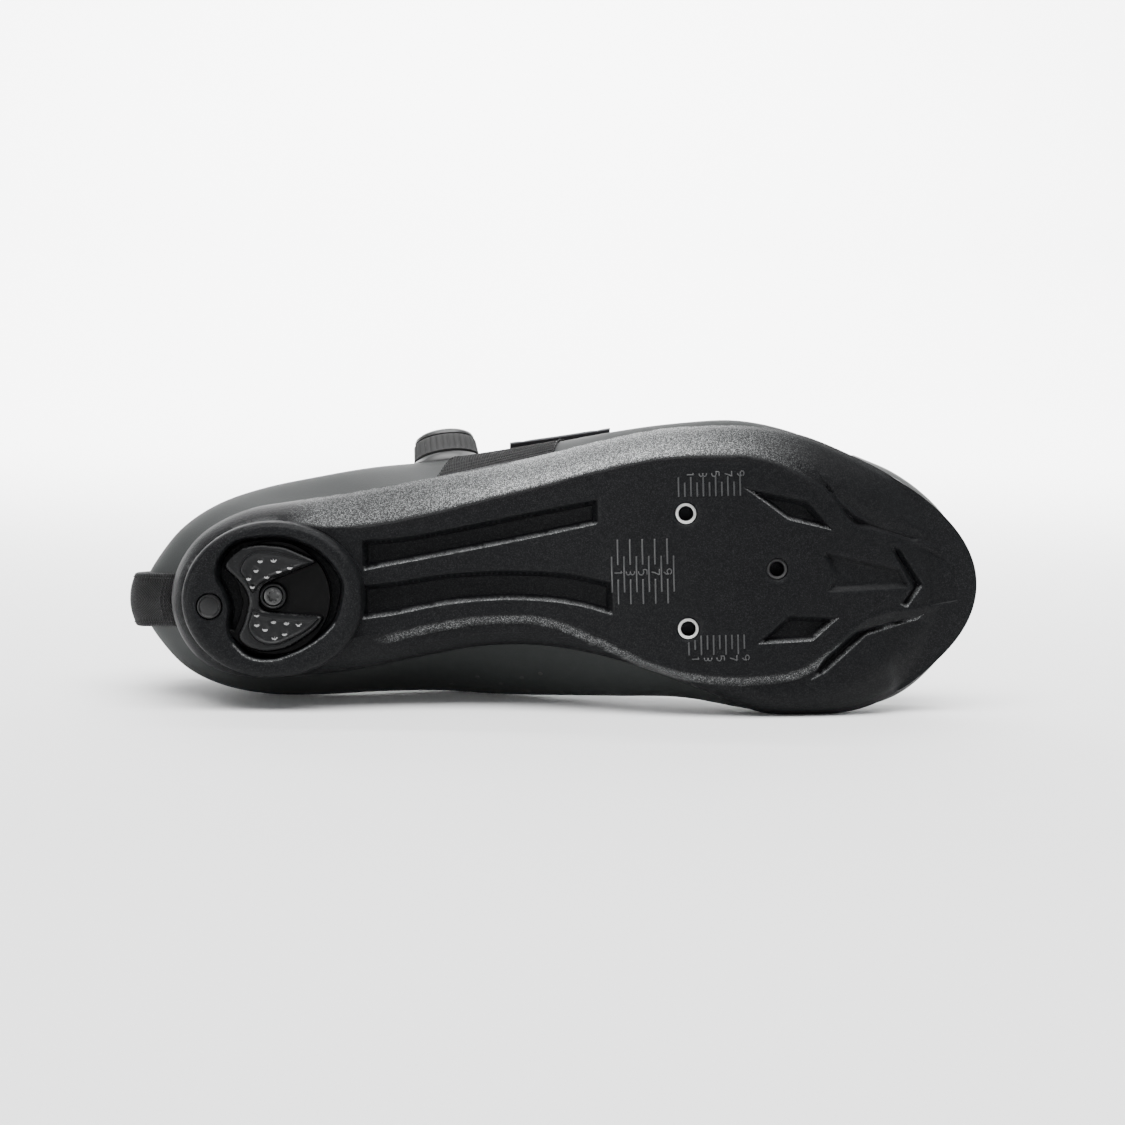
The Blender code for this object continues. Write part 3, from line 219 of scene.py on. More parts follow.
class Last:
    """The surfaces of the last and the shoe, as functions of a turn round the shoe and a rise up it.

    A turn is 0 at the heel and pi at the toe, positive on the outer side. A rise is 0 at the feather edge,
    1 at the sole's rim, 2 at the belly, 3 at the shoulder and 4 at the topline.
    """

    @staticmethod
    def turn_of(share: Array) -> Array:
        """The turn at a share of an outline's length: the arc cosine of 1 less twice the share."""
        return np.arccos(np.clip(1 - 2 * np.asarray(share, float), -1, 1))

    @staticmethod
    def share_of(turn: Array) -> Array:
        """The share of an outline's length at a turn: half of 1 less its cosine."""
        return (1 - np.cos(turn)) / 2

    def along(self, table: Sequence[Sequence[float]], place: int, turn: Array) -> Array:
        """A table's column at a turn, smoothed over the turn so that both ends come out round."""
        return smooth(self.turn_of(column(table, 0)), column(table, place), np.abs(turn))

    def outline(
        self, ends: tuple[float, float], table: Sequence[Sequence[float]], turn: Array, inset: float = 0.0
    ) -> tuple[Array, Array]:
        """X and Y of an outline at signed turns, moved in by an inset."""
        start, end = ends[0] * SHOE_LENGTH + inset, ends[1] * SHOE_LENGTH - inset
        x = start + (end - start) * self.share_of(turn)
        half = self.along(table, 2, turn) * BALL_WIDTH
        half = half * (1 - inset / np.maximum(half, 3 * inset + 1e-9))
        return x, self.along(table, 1, turn) * BALL_WIDTH - np.sign(turn) * half

    @staticmethod
    def side_height(place: int, x: Array) -> Array:
        """A height of the sole at X: 1 is the plateau, 2 the cup's floor and 3 its rim."""
        return smooth(column(SIDE_VIEW, 0), column(SIDE_VIEW, place), x / SHOE_LENGTH) * SOLE_DEPTH

    @staticmethod
    def upper_height(place: int, x: Array) -> Array:
        """A column of the upper's heights at X."""
        return smooth(column(UPPER_HEIGHTS, 0), column(UPPER_HEIGHTS, place), x / SHOE_LENGTH)

    def levels(self, turn: Array) -> Array:
        """The five points that a rib of the upper passes through at each turn."""
        x, y = self.outline(RIM_ENDS, RIM, turn, CUP_WALL + CUP_LIP + FIT_GAP)
        feather = stacked(x, y, self.side_height(2, x) + FIT_GAP)
        x, y = self.outline(RIM_ENDS, RIM, turn, CUP_LIP + FIT_GAP)
        rim = stacked(x, y, self.side_height(3, x))
        x, y = self.outline(BELLY_ENDS, BELLY, turn)
        belly = stacked(x, y, self.upper_height(1, x) * INSTEP_HEIGHT)
        top_x = self.outline(TOPLINE_ENDS, TOPLINE, turn)[0]
        middle = self.along(TOPLINE, 1, turn) * BALL_WIDTH
        is_open = self.share_of(turn) < THROAT_END - 1e-6
        opening = np.maximum(np.where(is_open, self.along(TOPLINE, 2, turn) * BALL_WIDTH, 0.0), 0.0)
        top = stacked(top_x, middle - np.sign(turn) * opening, self.upper_height(4, top_x) * INSTEP_HEIGHT)
        start, end = SHOULDER_ENDS[0] * SHOE_LENGTH, SHOULDER_ENDS[1] * SHOE_LENGTH
        x = start + (end - start) * self.share_of(turn)
        belly_middle = self.along(BELLY, 1, turn) * BALL_WIDTH
        half = self.along(BELLY, 2, turn) * BALL_WIDTH * self.upper_height(3, x)
        low, high = self.side_height(3, x), self.upper_height(4, x) * INSTEP_HEIGHT
        across = (belly_middle + middle) / 2 - np.sign(turn) * half
        shoulder = stacked(x, across, low + (high - low) * self.upper_height(2, x))
        return np.stack([feather, rim, belly, shoulder, top])

    def rib(self, turn: Array, rise: Array) -> Array:
        """Points of the upper's outer face: a Hermite cubic between levels, straight inside the cup."""
        turn, rise = np.broadcast_arrays(np.asarray(turn, float), np.asarray(rise, float))
        points = self.levels(turn)
        slopes = np.empty_like(points)
        slopes[0] = points[1] - points[0]
        slopes[1:-1] = (points[2:] - points[:-2]) / 2
        slopes[1] = (points[2] - points[1]) * 0.75
        lean = np.radians(np.where(self.share_of(turn) < THROAT_END, self.along(TOPLINE, 3, turn), 0.0))
        reach = np.linalg.norm(points[4] - points[3], axis=-1)
        side = np.where(turn == 0, 0.0, np.sign(turn)) * np.minimum(1, np.abs(np.sin(turn)) * 4)
        slopes[4] = stacked(np.zeros_like(lean), side * np.cos(lean) * reach, np.sin(lean) * reach)
        toe_end = np.clip((self.share_of(turn) - 0.93) / 0.07, 0, 1)[..., None]
        slopes[4] += toe_end * stacked(-reach, 0 * reach, 0 * reach)
        place = np.clip(np.floor(rise).astype(int), 0, 3)
        t = (rise - place)[..., None]
        pick = np.indices(turn.shape)
        here, there = points[(place, *pick)], points[(place + 1, *pick)]
        curve = cubic(here, there, slopes[(place, *pick)], slopes[(place + 1, *pick)], t)
        return np.where((place == 0)[..., None], here + (there - here) * t, curve)

    def outward(self, turn: Array, rise: Array) -> Array:
        """Unit normals of the outer face: the cross product of its slopes over turn and rise."""
        step = 0.01
        turn, rise = np.broadcast_arrays(np.asarray(turn, float), np.asarray(rise, float))
        low, high = np.maximum(rise - step, 0), np.minimum(rise + step, 4)
        across = self.rib(turn + step, rise) - self.rib(turn - step, rise)
        return unit(np.cross(across, self.rib(turn, high) - self.rib(turn, low)))

    def face(self, turn: Array, rise: Array, offset: Array | float) -> Array:
        """The upper's outer face moved outwards by an offset."""
        return self.rib(turn, rise) + self.outward(turn, rise) * np.asarray(offset, float)[..., None]

    def across_instep(
        self, share: float, outer_rise: float, inner_rise: float, offset: float, sides: int, bridge: int
    ) -> Array:
        """A row of points up the outer flap, over the throat and down the inner flap.

        Args:
            share: Place along the topline.
            outer_rise: Rise of the row's end on the outer flap.
            inner_rise: Rise of its end on the inner flap.
            offset: Distance from the upper's outer face.
            sides: Points on each flap.
            bridge: Points over the throat, on a parabola that leaves each flap at its lean.

        Returns:
            The row's points, from the outer side to the inner side.
        """
        turn = np.full(sides, float(self.turn_of(share)))
        offsets = np.full(sides, offset)
        up = self.face(turn, np.linspace(outer_rise, 4, sides), offsets)
        down = self.face(-turn, np.linspace(4, inner_rise, sides), offsets)
        t = np.linspace(0, 1, bridge + 2)[1:-1, None]
        steep = math.tan(math.radians(float(self.along(TOPLINE, 3, turn[0])))) if share < THROAT_END else 0.0
        lift = np.array([0, 0, np.linalg.norm(down[0] - up[-1]) * steep / 4])
        return np.concatenate([up, up[-1] * (1 - t) + down[0] * t + lift * 4 * t * (1 - t), down])


LAST = Last()


def nut_places() -> dict[str, tuple[float, float]]:
    """Places of the three cleat inserts in plan: two behind, one ahead."""
    x, y = scaled(NUTS_MIDDLE)
    return {
        "cleat_nut_outer_rear": (x, y - NUT_SPACING / 2),
        "cleat_nut_inner_rear": (x, y + NUT_SPACING / 2),
        "cleat_nut_front": (x + NUT_REACH, y),
    }


@dataclass(frozen=True)
class Pose:
    """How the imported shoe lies: the turn and the shift from the last's frame to the row frame."""

    turn: Array
    shift: Array

    @classmethod
    def from_frame(cls) -> "Pose":
        """The pose that best carries the round pieces' places in the last's frame onto their CAD boxes.

        A round piece's box has its middle at the piece's own middle whichever way it is turned. The turn is
        the one of least squares, from the singular vectors of the product of both sets of middles.
        """
        nut_middle = NUT_SINK + NUT_DEPTH / 2
        places = {
            name: (x, y, float(LAST.side_height(1, x)) + nut_middle) for name, (x, y) in nut_places().items()
        }
        places["heel_pad_screw"] = (*scaled(SCREW_PLACE), PAD_PLATE - SCREW_RISE + SCREW_DEPTH / 2)
        places["heel_plug"] = (*scaled(PLUG_PLACE), PLUG_SINK + (PLUG_DEPTH - 2 * FIT_GAP) / 2)
        here = np.array([places[name] for name in places])
        there = np.array([(np.array(low) + np.array(high)) / 2 for low, high in (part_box(n) for n in places)])
        u, _, v = np.linalg.svd((here - here.mean(0)).T @ (there - there.mean(0)))
        flip = np.diag([1, 1, np.sign(np.linalg.det(v.T @ u.T))])
        turn = v.T @ flip @ u.T
        return cls(turn, there.mean(0) - turn @ here.mean(0))

    def points(self, points: Array) -> Array:
        """Points of the last's frame in the row frame."""
        return np.asarray(points, float) @ self.turn.T + self.shift


POSE = Pose.from_frame()


def grid_quads(rows: int, columns: int, start: int = 0, around: bool = False, flip: bool = False) -> Array:
    """Faces of a grid of points, as whole arrays of four indices.

    Args:
        rows: Rows of points.
        columns: Points in a row.
        start: Index of the grid's first point.
        around: Whether each row closes on itself.
        flip: Whether the faces turn the other way round.

    Returns:
        An array of four point indices a face.
    """
    row = np.arange(rows - 1)[:, None]
    place = np.arange(columns if around else columns - 1)[None, :]
    here = start + row * columns + place
    ahead = start + row * columns + (place + 1) % columns
    faces = np.stack([here, ahead, ahead + columns, here + columns], -1).reshape(-1, 4)
    return faces[:, ::-1] if flip else faces


@dataclass
class Shape:
    """Points in the last's frame with faces between them, gathered patch by patch."""

    points: list[Array] = field(default_factory=list)
    faces: list[list[int]] = field(default_factory=list)
    finishes: list[int] = field(default_factory=list)
    marks: dict[str, list[Array]] = field(default_factory=dict)
    count: int = 0

    def add(
        self, points: Array, faces: Iterable[Sequence[int]], finish: int = 0, **marks: Array
    ) -> "Shape":
        """Adds a patch. Marks are values for each of its points, kept as attributes.

        Args:
            points: The patch's points.
            faces: Faces, counted from the patch's own first point.
            finish: Number of the material slot.
            **marks: Values or vectors for each point.

        Returns:
            The shape itself.
        """
        flat = np.asarray(points, float).reshape(-1, 3)
        first = self.count
        made = [[int(i) + first for i in face] for face in faces]
        self.points.append(flat)
        self.faces += made
        self.finishes += [finish] * len(made)
        for name, value in marks.items():
            self.marks.setdefault(name, []).append(np.asarray(value, float).reshape(len(flat), -1))
        self.count += len(flat)
        return self

    def grid(
        self, grid: Array, around: bool = False, flip: bool = False, finish: int = 0, **marks: Array
    ) -> "Shape":
        """Adds a grid of points as a patch."""
        return self.add(grid, grid_quads(*grid.shape[:2], 0, around, flip), finish, **marks)

    def sheet(self, outer: Array, inner: Array, **marks: Array) -> "Shape":
        """Adds a closed sheet between two grids of one shape, with faces round its edge."""
        rows, columns = outer.shape[:2]
        count = rows * columns
        doubled = {name: np.tile(value.reshape(count, -1), (2, 1)) for name, value in marks.items()}
        edge = np.concatenate([
            np.arange(columns), np.arange(1, rows) * columns + columns - 1,
            (rows - 1) * columns + np.arange(columns - 2, -1, -1), np.arange(rows - 2, 0, -1) * columns,
        ])
        ahead = np.roll(edge, -1)
        sides = np.stack([edge, edge + count, ahead + count, ahead], -1)
        back = grid_quads(rows, columns, count, flip=True)
        faces = np.concatenate([grid_quads(rows, columns), sides, back])
        return self.add(np.concatenate([outer.reshape(-1, 3), inner.reshape(-1, 3)]), faces, **doubled)

    def build(
        self, name: str, finishes: Sequence["Finish"], sharp: float = 35.0, merge: float = 1e-6
    ) -> bpy.types.Object:
        """Makes the object in the row frame, with its doubles merged and its faces outwards.

        Args:
            name: The object's name.
            finishes: The finish of each material slot.
            sharp: Angle in degrees from which an edge is shaded sharp.
            merge: Distance under which points are one.

        Returns:
            The new object, at the origin.
        """
        mesh = bpy.data.meshes.new(name)
        mesh.from_pydata(POSE.points(np.concatenate(self.points)).tolist(), [], self.faces)
        mesh.polygons.foreach_set("material_index", np.array(self.finishes, np.int32))
        for mark, parts in self.marks.items():
            values = np.concatenate(parts)
            wide = values.shape[1] > 1
            layer = mesh.attributes.new(mark, "FLOAT_VECTOR" if wide else "FLOAT", "POINT")
            if wide:
                values = np.pad(values, ((0, 0), (0, 3 - values.shape[1])))
            layer.data.foreach_set("vector" if wide else "value", values.astype(np.float32).ravel())
        work = bmesh.new()
        work.from_mesh(mesh)
        bmesh.ops.remove_doubles(work, verts=work.verts, dist=merge)
        bmesh.ops.dissolve_degenerate(work, edges=work.edges, dist=1e-7)
        bmesh.ops.recalc_face_normals(work, faces=work.faces)
        work.to_mesh(mesh)
        work.free()
        mesh.shade_smooth()
        mesh.set_sharp_from_angle(angle=math.radians(sharp))
        made = bpy.data.objects.new(name, mesh)
        bpy.context.scene.collection.objects.link(made)
        for finish in finishes:
            mesh.materials.append(finish.material())
        return made


def settle(piece: bpy.types.Object, slot: str, *nodes: str) -> bpy.types.Object:
    """Puts a finished piece on the shoe's body, in place of CAD nodes if any are named, and reports it."""
    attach(piece, "root")
    if nodes:
        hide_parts(*nodes)
    stands_for = ", ".join(nodes) or "no node"
    LOG.info("%s: %d faces, stands for %s", piece.name, len(piece.data.polygons), stands_for)
    return piece


Colour = tuple[float, float, float]


@dataclass
class Graph:
    """Adds nodes to a node tree and links them."""

    tree: bpy.types.NodeTree

    def add(self, kind: str, inputs: dict | None = None, **settings: object) -> bpy.types.Node:
        """Adds a node.

        Args:
            kind: The node's type.
            inputs: A value or another node's socket for each named input.
            **settings: Properties of the node.

        Returns:
            The new node.
        """
        node = self.tree.nodes.new(kind)
        for key, value in settings.items():
            setattr(node, key, value)
        for key, value in (inputs or {}).items():
            if isinstance(value, bpy.types.NodeSocket):
                self.tree.links.new(value, node.inputs[key])
            else:
                node.inputs[key].default_value = value
        return node

    def link(self, source: bpy.types.NodeSocket, target: bpy.types.NodeSocket) -> None:
        """Joins two sockets."""
        self.tree.links.new(source, target)

    def math(self, operation: str, *values: object, clamp: bool = False) -> bpy.types.NodeSocket:
        """The result of a Math node."""
        node = self.add("ShaderNodeMath", dict(enumerate(values)), operation=operation, use_clamp=clamp)
        return node.outputs[0]

    def mix(self, share: object, first: object, second: object) -> bpy.types.NodeSocket:
        """A colour between two colours."""
        node = self.add("ShaderNodeMix", {0: share}, data_type="RGBA")
        for socket, value in ((node.inputs[6], first), (node.inputs[7], second)):
            if isinstance(value, bpy.types.NodeSocket):
                self.tree.links.new(value, socket)
            else:
                socket.default_value = (*value, 1)
        return node.outputs[2]

    def ramp(
        self, value: object, low: float, high: float, to_low: float = 0.0, to_high: float = 1.0
    ) -> bpy.types.NodeSocket:
        """A value carried from one range to another and held at its ends."""
        inputs = {"Value": value, "From Min": low, "From Max": high, "To Min": to_low, "To Max": to_high}
        return self.add("ShaderNodeMapRange", inputs, clamp=True).outputs["Result"]


class Effect(Enum):
    """The effects that materials share, each a node group."""

    GRAIN = "fine_grain"
    FLECKS = "metal_flecks"
    TWILL = "twill_weave"
    HERRINGBONE = "herringbone_weave"
    HANDLING = "handling_marks"


class Effects:
    """Builds each shared effect once, as a node group with named inputs and outputs."""

    def __init__(self) -> None:
        """Names the maker of each group."""
        self.makers: dict[Effect, Callable[[Graph, bpy.types.NodeSocket], tuple]] = {
            Effect.GRAIN: self.grain,
            Effect.FLECKS: self.flecks,
            Effect.TWILL: self.twill,
            Effect.HERRINGBONE: self.herringbone,
            Effect.HANDLING: self.handling,
        }

    def place(
        self, graph: Graph, effect: Effect, vector: bpy.types.NodeSocket, size: float
    ) -> bpy.types.Node:
        """Places an effect in a material.

        Args:
            graph: The material's graph.
            effect: Which effect.
            vector: Where the pattern is read, in metres.
            size: The pattern's pitch in metres.

        Returns:
            The group's node, with outputs Height and Mask.
        """
        tree = bpy.data.node_groups.get(effect.value) or self.make(effect)
        node = graph.tree.nodes.new("ShaderNodeGroup")
        node.node_tree = tree
        graph.link(vector, node.inputs["Vector"])
        node.inputs["Pitch"].default_value = size
        return node

    def make(self, effect: Effect) -> bpy.types.NodeTree:
        """Makes an effect's group: its vector is divided by the pitch, then goes through its pattern."""
        tree = bpy.data.node_groups.new(effect.value, "ShaderNodeTree")
        tree.interface.new_socket("Vector", in_out="INPUT", socket_type="NodeSocketVector")
        tree.interface.new_socket("Pitch", in_out="INPUT", socket_type="NodeSocketFloat")
        tree.interface.new_socket("Height", in_out="OUTPUT", socket_type="NodeSocketFloat")
        tree.interface.new_socket("Mask", in_out="OUTPUT", socket_type="NodeSocketFloat")
        graph = Graph(tree)
        entry, leave = graph.add("NodeGroupInput"), graph.add("NodeGroupOutput")
        scale = graph.math("DIVIDE", 1.0, entry.outputs["Pitch"])
        inputs = {0: entry.outputs["Vector"], "Scale": scale}
        place = graph.add("ShaderNodeVectorMath", inputs, operation="SCALE")
        for name, socket in zip(("Height", "Mask"), self.makers[effect](graph, place.outputs[0])):
            graph.link(socket, leave.inputs[name])
        return tree

    @staticmethod
    def grain(graph: Graph, place: bpy.types.NodeSocket) -> tuple:
        """Pebbles from cells, broken up by fine noise. The mask is their tops."""
        cells = graph.add("ShaderNodeTexVoronoi", {"Vector": place, "Scale": 1.0}, feature="F1")
        noise = graph.add("ShaderNodeTexNoise", {"Vector": place, "Scale": 2.3, "Detail": 3.0})
        tops = graph.math("SUBTRACT", 0.8, cells.outputs["Distance"])
        height = graph.math("MULTIPLY_ADD", noise.outputs["Fac"], 0.6, tops)
        return height, graph.ramp(height, 0.55, 0.95)

    @staticmethod
    def flecks(graph: Graph, place: bpy.types.NodeSocket) -> tuple:
        """Small cells, of which about one in four is bright. The height is the cell's own random tilt."""
        cells = graph.add("ShaderNodeTexVoronoi", {"Vector": place, "Scale": 1.0}, feature="F1")
        split = graph.add("ShaderNodeSeparateColor", {"Color": cells.outputs["Color"]})
        return split.outputs["Green"], graph.ramp(split.outputs["Red"], 0.6, 0.95)

    @staticmethod
    def twill(graph: Graph, place: bpy.types.NodeSocket) -> tuple:
        """Slanted ribs: a wave across the slant, cut into stitches by a wave along it."""
        split = graph.add("ShaderNodeSeparateXYZ", {0: place})
        across = graph.math("ADD", split.outputs["X"], split.outputs["Y"])
        along = graph.math("SUBTRACT", split.outputs["Y"], graph.math("MULTIPLY", split.outputs["X"], 0.5))
        ribs = graph.math("SINE", graph.math("MULTIPLY", across, 2 * math.pi))
        stitches = graph.math("SINE", graph.math("MULTIPLY", along, 2 * math.pi * 1.7))
        height = graph.math("MULTIPLY_ADD", stitches, 0.35, ribs)
        return graph.math("MULTIPLY", height, 0.5), graph.ramp(height, -0.2, 1.1)

    @staticmethod
    def herringbone(graph: Graph, place: bpy.types.NodeSocket) -> tuple:
        """Ribs that change their slant in bands across the tape, which gives a herringbone."""
        split = graph.add("ShaderNodeSeparateXYZ", {0: place})
        band = graph.math("PINGPONG", split.outputs["Y"], 6.0)
        slant = graph.math("MULTIPLY_ADD", band, 0.8, split.outputs["X"])
        ribs = graph.math("SINE", graph.math("MULTIPLY", slant, 2 * math.pi))
        yarns = graph.math("SINE", graph.math("MULTIPLY", split.outputs["Y"], 4 * math.pi))
        height = graph.math("MULTIPLY_ADD", yarns, 0.25, ribs)
        return graph.math("MULTIPLY", height, 0.5), graph.ramp(height, -0.4, 1.0)

    @staticmethod
    def handling(graph: Graph, place: bpy.types.NodeSocket) -> tuple:
        """Wide faint clouds and a few fine streaks, as handling leaves them."""
        clouds = graph.add("ShaderNodeTexNoise", {"Vector": place, "Scale": 1.0, "Detail": 4.0})
        stretch = graph.add("ShaderNodeMapping", {"Vector": place, "Scale": (1.0, 9.0, 9.0)})
        inputs = {"Vector": stretch.outputs[0], "Scale": 2.0, "Detail": 2.0}
        streaks = graph.add("ShaderNodeTexNoise", inputs)
        return clouds.outputs["Fac"], graph.ramp(streaks.outputs["Fac"], 0.62, 0.8)


EFFECTS = Effects()


@dataclass(frozen=True)
class Finish:
    """A surface finish. A subclass adds its nodes in dress()."""

    name: str
    colour: Colour
    roughness: float
    metallic: float = 0.0
    specular: float = 0.5
    sheen: float = 0.0
    pattern: str = ""

    def material(self) -> bpy.types.Material:
        """The finish's material, made on first use."""
        made = bpy.data.materials.get(self.name)
        if made is None:
            made = bpy.data.materials.new(self.name)
            made.use_nodes = True
            shader = made.node_tree.nodes["Principled BSDF"]
            shader.inputs["Base Color"].default_value = (*self.colour, 1)
            shader.inputs["Roughness"].default_value = self.roughness
            shader.inputs["Metallic"].default_value = self.metallic
            shader.inputs["Specular IOR Level"].default_value = self.specular
            shader.inputs["Sheen Weight"].default_value = self.sheen
            shader.inputs["Sheen Roughness"].default_value = 0.45
            self.dress(Graph(made.node_tree), shader)
        return made

    def place(self, graph: Graph) -> bpy.types.NodeSocket:
        """Where patterns are read: the named attribute of the piece, or its Object coordinates."""
        if self.pattern:
            return graph.add("ShaderNodeAttribute", attribute_name=self.pattern).outputs["Vector"]
        return graph.add("ShaderNodeTexCoord").outputs["Object"]

    def bump(
        self, graph: Graph, shader: bpy.types.Node, height: object, depth: float, strength: float = 1.0
    ) -> None:
        """Raises the surface by a height map of a depth in metres."""
        bump = graph.add("ShaderNodeBump", {"Height": height, "Distance": depth, "Strength": strength})
        graph.link(bump.outputs["Normal"], shader.inputs["Normal"])

    def tone(self, graph: Graph, shader: bpy.types.Node, share: object, other: Colour) -> None:
        """Mixes the base colour with another by a mask."""
        graph.link(graph.mix(share, self.colour, other), shader.inputs["Base Color"])

    def vary(self, graph: Graph, shader: bpy.types.Node, value: object, low: float, high: float) -> None:
        """Lets the roughness follow a value from 0 to 1, between two roughnesses."""
        graph.link(graph.ramp(value, 0.0, 1.0, low, high), shader.inputs["Roughness"])

    def dress(self, graph: Graph, shader: bpy.types.Node) -> None:
        """Adds the finish's own nodes."""
        raise NotImplementedError


@dataclass(frozen=True)
class Composite(Finish):
    """Moulded nylon composite: pebbled on its flats and fine with metal flecks on its walls, whose lighter
    colour is partly their own finish and partly painted light.
    """

    pebble: float = 0.75 * MM
    fleck: float = 0.20 * MM
    # Lighter ground of the walls: partly their own gunmetal finish, partly painted light carried by the wall
    # mark
    wall_colour: Colour = (0.060, 0.0615, 0.062)
    fleck_colour: Colour = (0.50, 0.51, 0.51)

    def dress(self, graph: Graph, shader: bpy.types.Node) -> None:
        """Mixes both grains by the piece's wall mark: 0 on the flats and 1 on the brightest wall. The mark's
        lighter ground and flecks are partly the walls' own finish and partly painted light.
        """
        place = self.place(graph)
        wall = graph.add("ShaderNodeAttribute", attribute_name="wall").outputs["Fac"]
        grain = EFFECTS.place(graph, Effect.GRAIN, place, self.pebble)
        flecks = EFFECTS.place(graph, Effect.FLECKS, place, self.fleck)
        marks = EFFECTS.place(graph, Effect.HANDLING, place, 30 * MM)
        # The wall mark lightens the colour and adds bright flecks: painted light and highlights, partly the
        # walls' own finish
        ground = graph.mix(graph.math("POWER", wall, 1.5), self.colour, self.wall_colour)
        painted_shine = graph.math("MULTIPLY", flecks.outputs["Mask"], graph.ramp(wall, 0.05, 1.0, 0.02, 0.7))
        graph.link(graph.mix(painted_shine, ground, self.fleck_colour), shader.inputs["Base Color"])
        graph.link(graph.math("MULTIPLY", painted_shine, 0.8), shader.inputs["Metallic"])
        polish = graph.ramp(wall, 0.0, 1.0, 0.34, 0.22)
        rough = graph.math("MULTIPLY_ADD", marks.outputs["Height"], 0.25, polish)
        graph.link(graph.math("ADD", rough, self.roughness - 0.35), shader.inputs["Roughness"])
        flat = graph.math("MULTIPLY", grain.outputs["Height"], graph.ramp(wall, 0.0, 1.0, 1.0, 0.15))
        share = graph.ramp(wall, 0.0, 1.0, 0.03, 0.25)
        height = graph.math("MULTIPLY_ADD", flecks.outputs["Height"], share, flat)
        self.bump(graph, shader, height, 0.10 * MM, 0.5)


@dataclass(frozen=True)
class Microfibre(Finish):
    """Coated microfibre with a close leather grain and faint handling marks."""

    grain: float = 0.55 * MM
    depth: float = 0.05 * MM
    worn: Colour = (0.15, 0.16, 0.16)

    def dress(self, graph: Graph, shader: bpy.types.Node) -> None:
        """Grain in the bump, faint clouds in the colour, streaks in the roughness."""
        place = self.place(graph)
        grain = EFFECTS.place(graph, Effect.GRAIN, place, self.grain)
        marks = EFFECTS.place(graph, Effect.HANDLING, place, 45 * MM)
        clouds = graph.ramp(marks.outputs["Height"], 0.35, 0.7, 0.0, 0.25)
        share = graph.math("MULTIPLY_ADD", grain.outputs["Mask"], 0.12, clouds)
        self.tone(graph, shader, share, self.worn)
        self.vary(graph, shader, marks.outputs["Height"], self.roughness - 0.08, self.roughness + 0.08)
        self.bump(graph, shader, grain.outputs["Height"], self.depth, 0.5)


@dataclass(frozen=True)
class Weave(Finish):
    """Cloth or tape, woven in one of the shared weaves."""

    weave: Effect = Effect.TWILL
    pitch: float = 1.2 * MM
    depth: float = 0.25 * MM
    thread: Colour = (0.06, 0.06, 0.062)

    def dress(self, graph: Graph, shader: bpy.types.Node) -> None:
        """The weave's ribs in bump and colour, and fuzz between them."""
        place = self.place(graph)
        weave = EFFECTS.place(graph, self.weave, place, self.pitch)
        fuzz = EFFECTS.place(graph, Effect.GRAIN, place, self.pitch * 0.45)
        lit = graph.math("MULTIPLY", weave.outputs["Mask"], fuzz.outputs["Mask"])
        self.tone(graph, shader, lit, self.thread)
        self.vary(graph, shader, weave.outputs["Mask"], self.roughness, self.roughness - 0.18)
        height = graph.math("MULTIPLY_ADD", fuzz.outputs["Height"], 0.3, weave.outputs["Height"])
        self.bump(graph, shader, height, self.depth, 0.8)


@dataclass(frozen=True)
class Moulded(Finish):
    """Rubber or plastic from a mould: a fine even texture and a faint bloom."""

    grain: float = 0.35 * MM
    depth: float = 0.03 * MM
    bloom: Colour = (0.05, 0.05, 0.052)

    def dress(self, graph: Graph, shader: bpy.types.Node) -> None:
        """Grain in the bump, clouds in colour and roughness."""
        place = self.place(graph)
        grain = EFFECTS.place(graph, Effect.GRAIN, place, self.grain)
        marks = EFFECTS.place(graph, Effect.HANDLING, place, 14 * MM)
        self.tone(graph, shader, graph.ramp(marks.outputs["Height"], 0.4, 0.75, 0.0, 0.35), self.bloom)
        self.vary(graph, shader, marks.outputs["Height"], self.roughness - 0.1, self.roughness + 0.1)
        self.bump(graph, shader, grain.outputs["Height"], self.depth, 0.6)


@dataclass(frozen=True)
class Turned(Finish):
    """Turned or drawn metal with fine lines from the tool."""

    line: float = 0.12 * MM

    def dress(self, graph: Graph, shader: bpy.types.Node) -> None:
        """Tool lines in the bump, and clouds in the roughness."""
        place = self.place(graph)
        lines = EFFECTS.place(graph, Effect.TWILL, place, self.line)
        marks = EFFECTS.place(graph, Effect.HANDLING, place, 3 * MM)
        self.vary(graph, shader, marks.outputs["Height"], self.roughness - 0.08, self.roughness + 0.12)
        self.bump(graph, shader, lines.outputs["Height"], 0.004 * MM, 0.5)


COMPOSITE = Composite("sole_composite", (0.0026, 0.0028, 0.0033), 0.38, specular=0.085)
# Raised scale lines, moulded in the sole's own material but coloured ten times lighter: a painted highlight
SCALE_PAINTED_HIGHLIGHT = Moulded("scale_lines_painted_highlight", (0.026, 0.027, 0.028), 0.34, bloom=(0.045, 0.045, 0.045))
MICROFIBRE = Microfibre(
    "anthracite_microfibre", (0.0165, 0.0180, 0.0177), 0.62, specular=0.14, worn=(0.024, 0.026, 0.026)
)
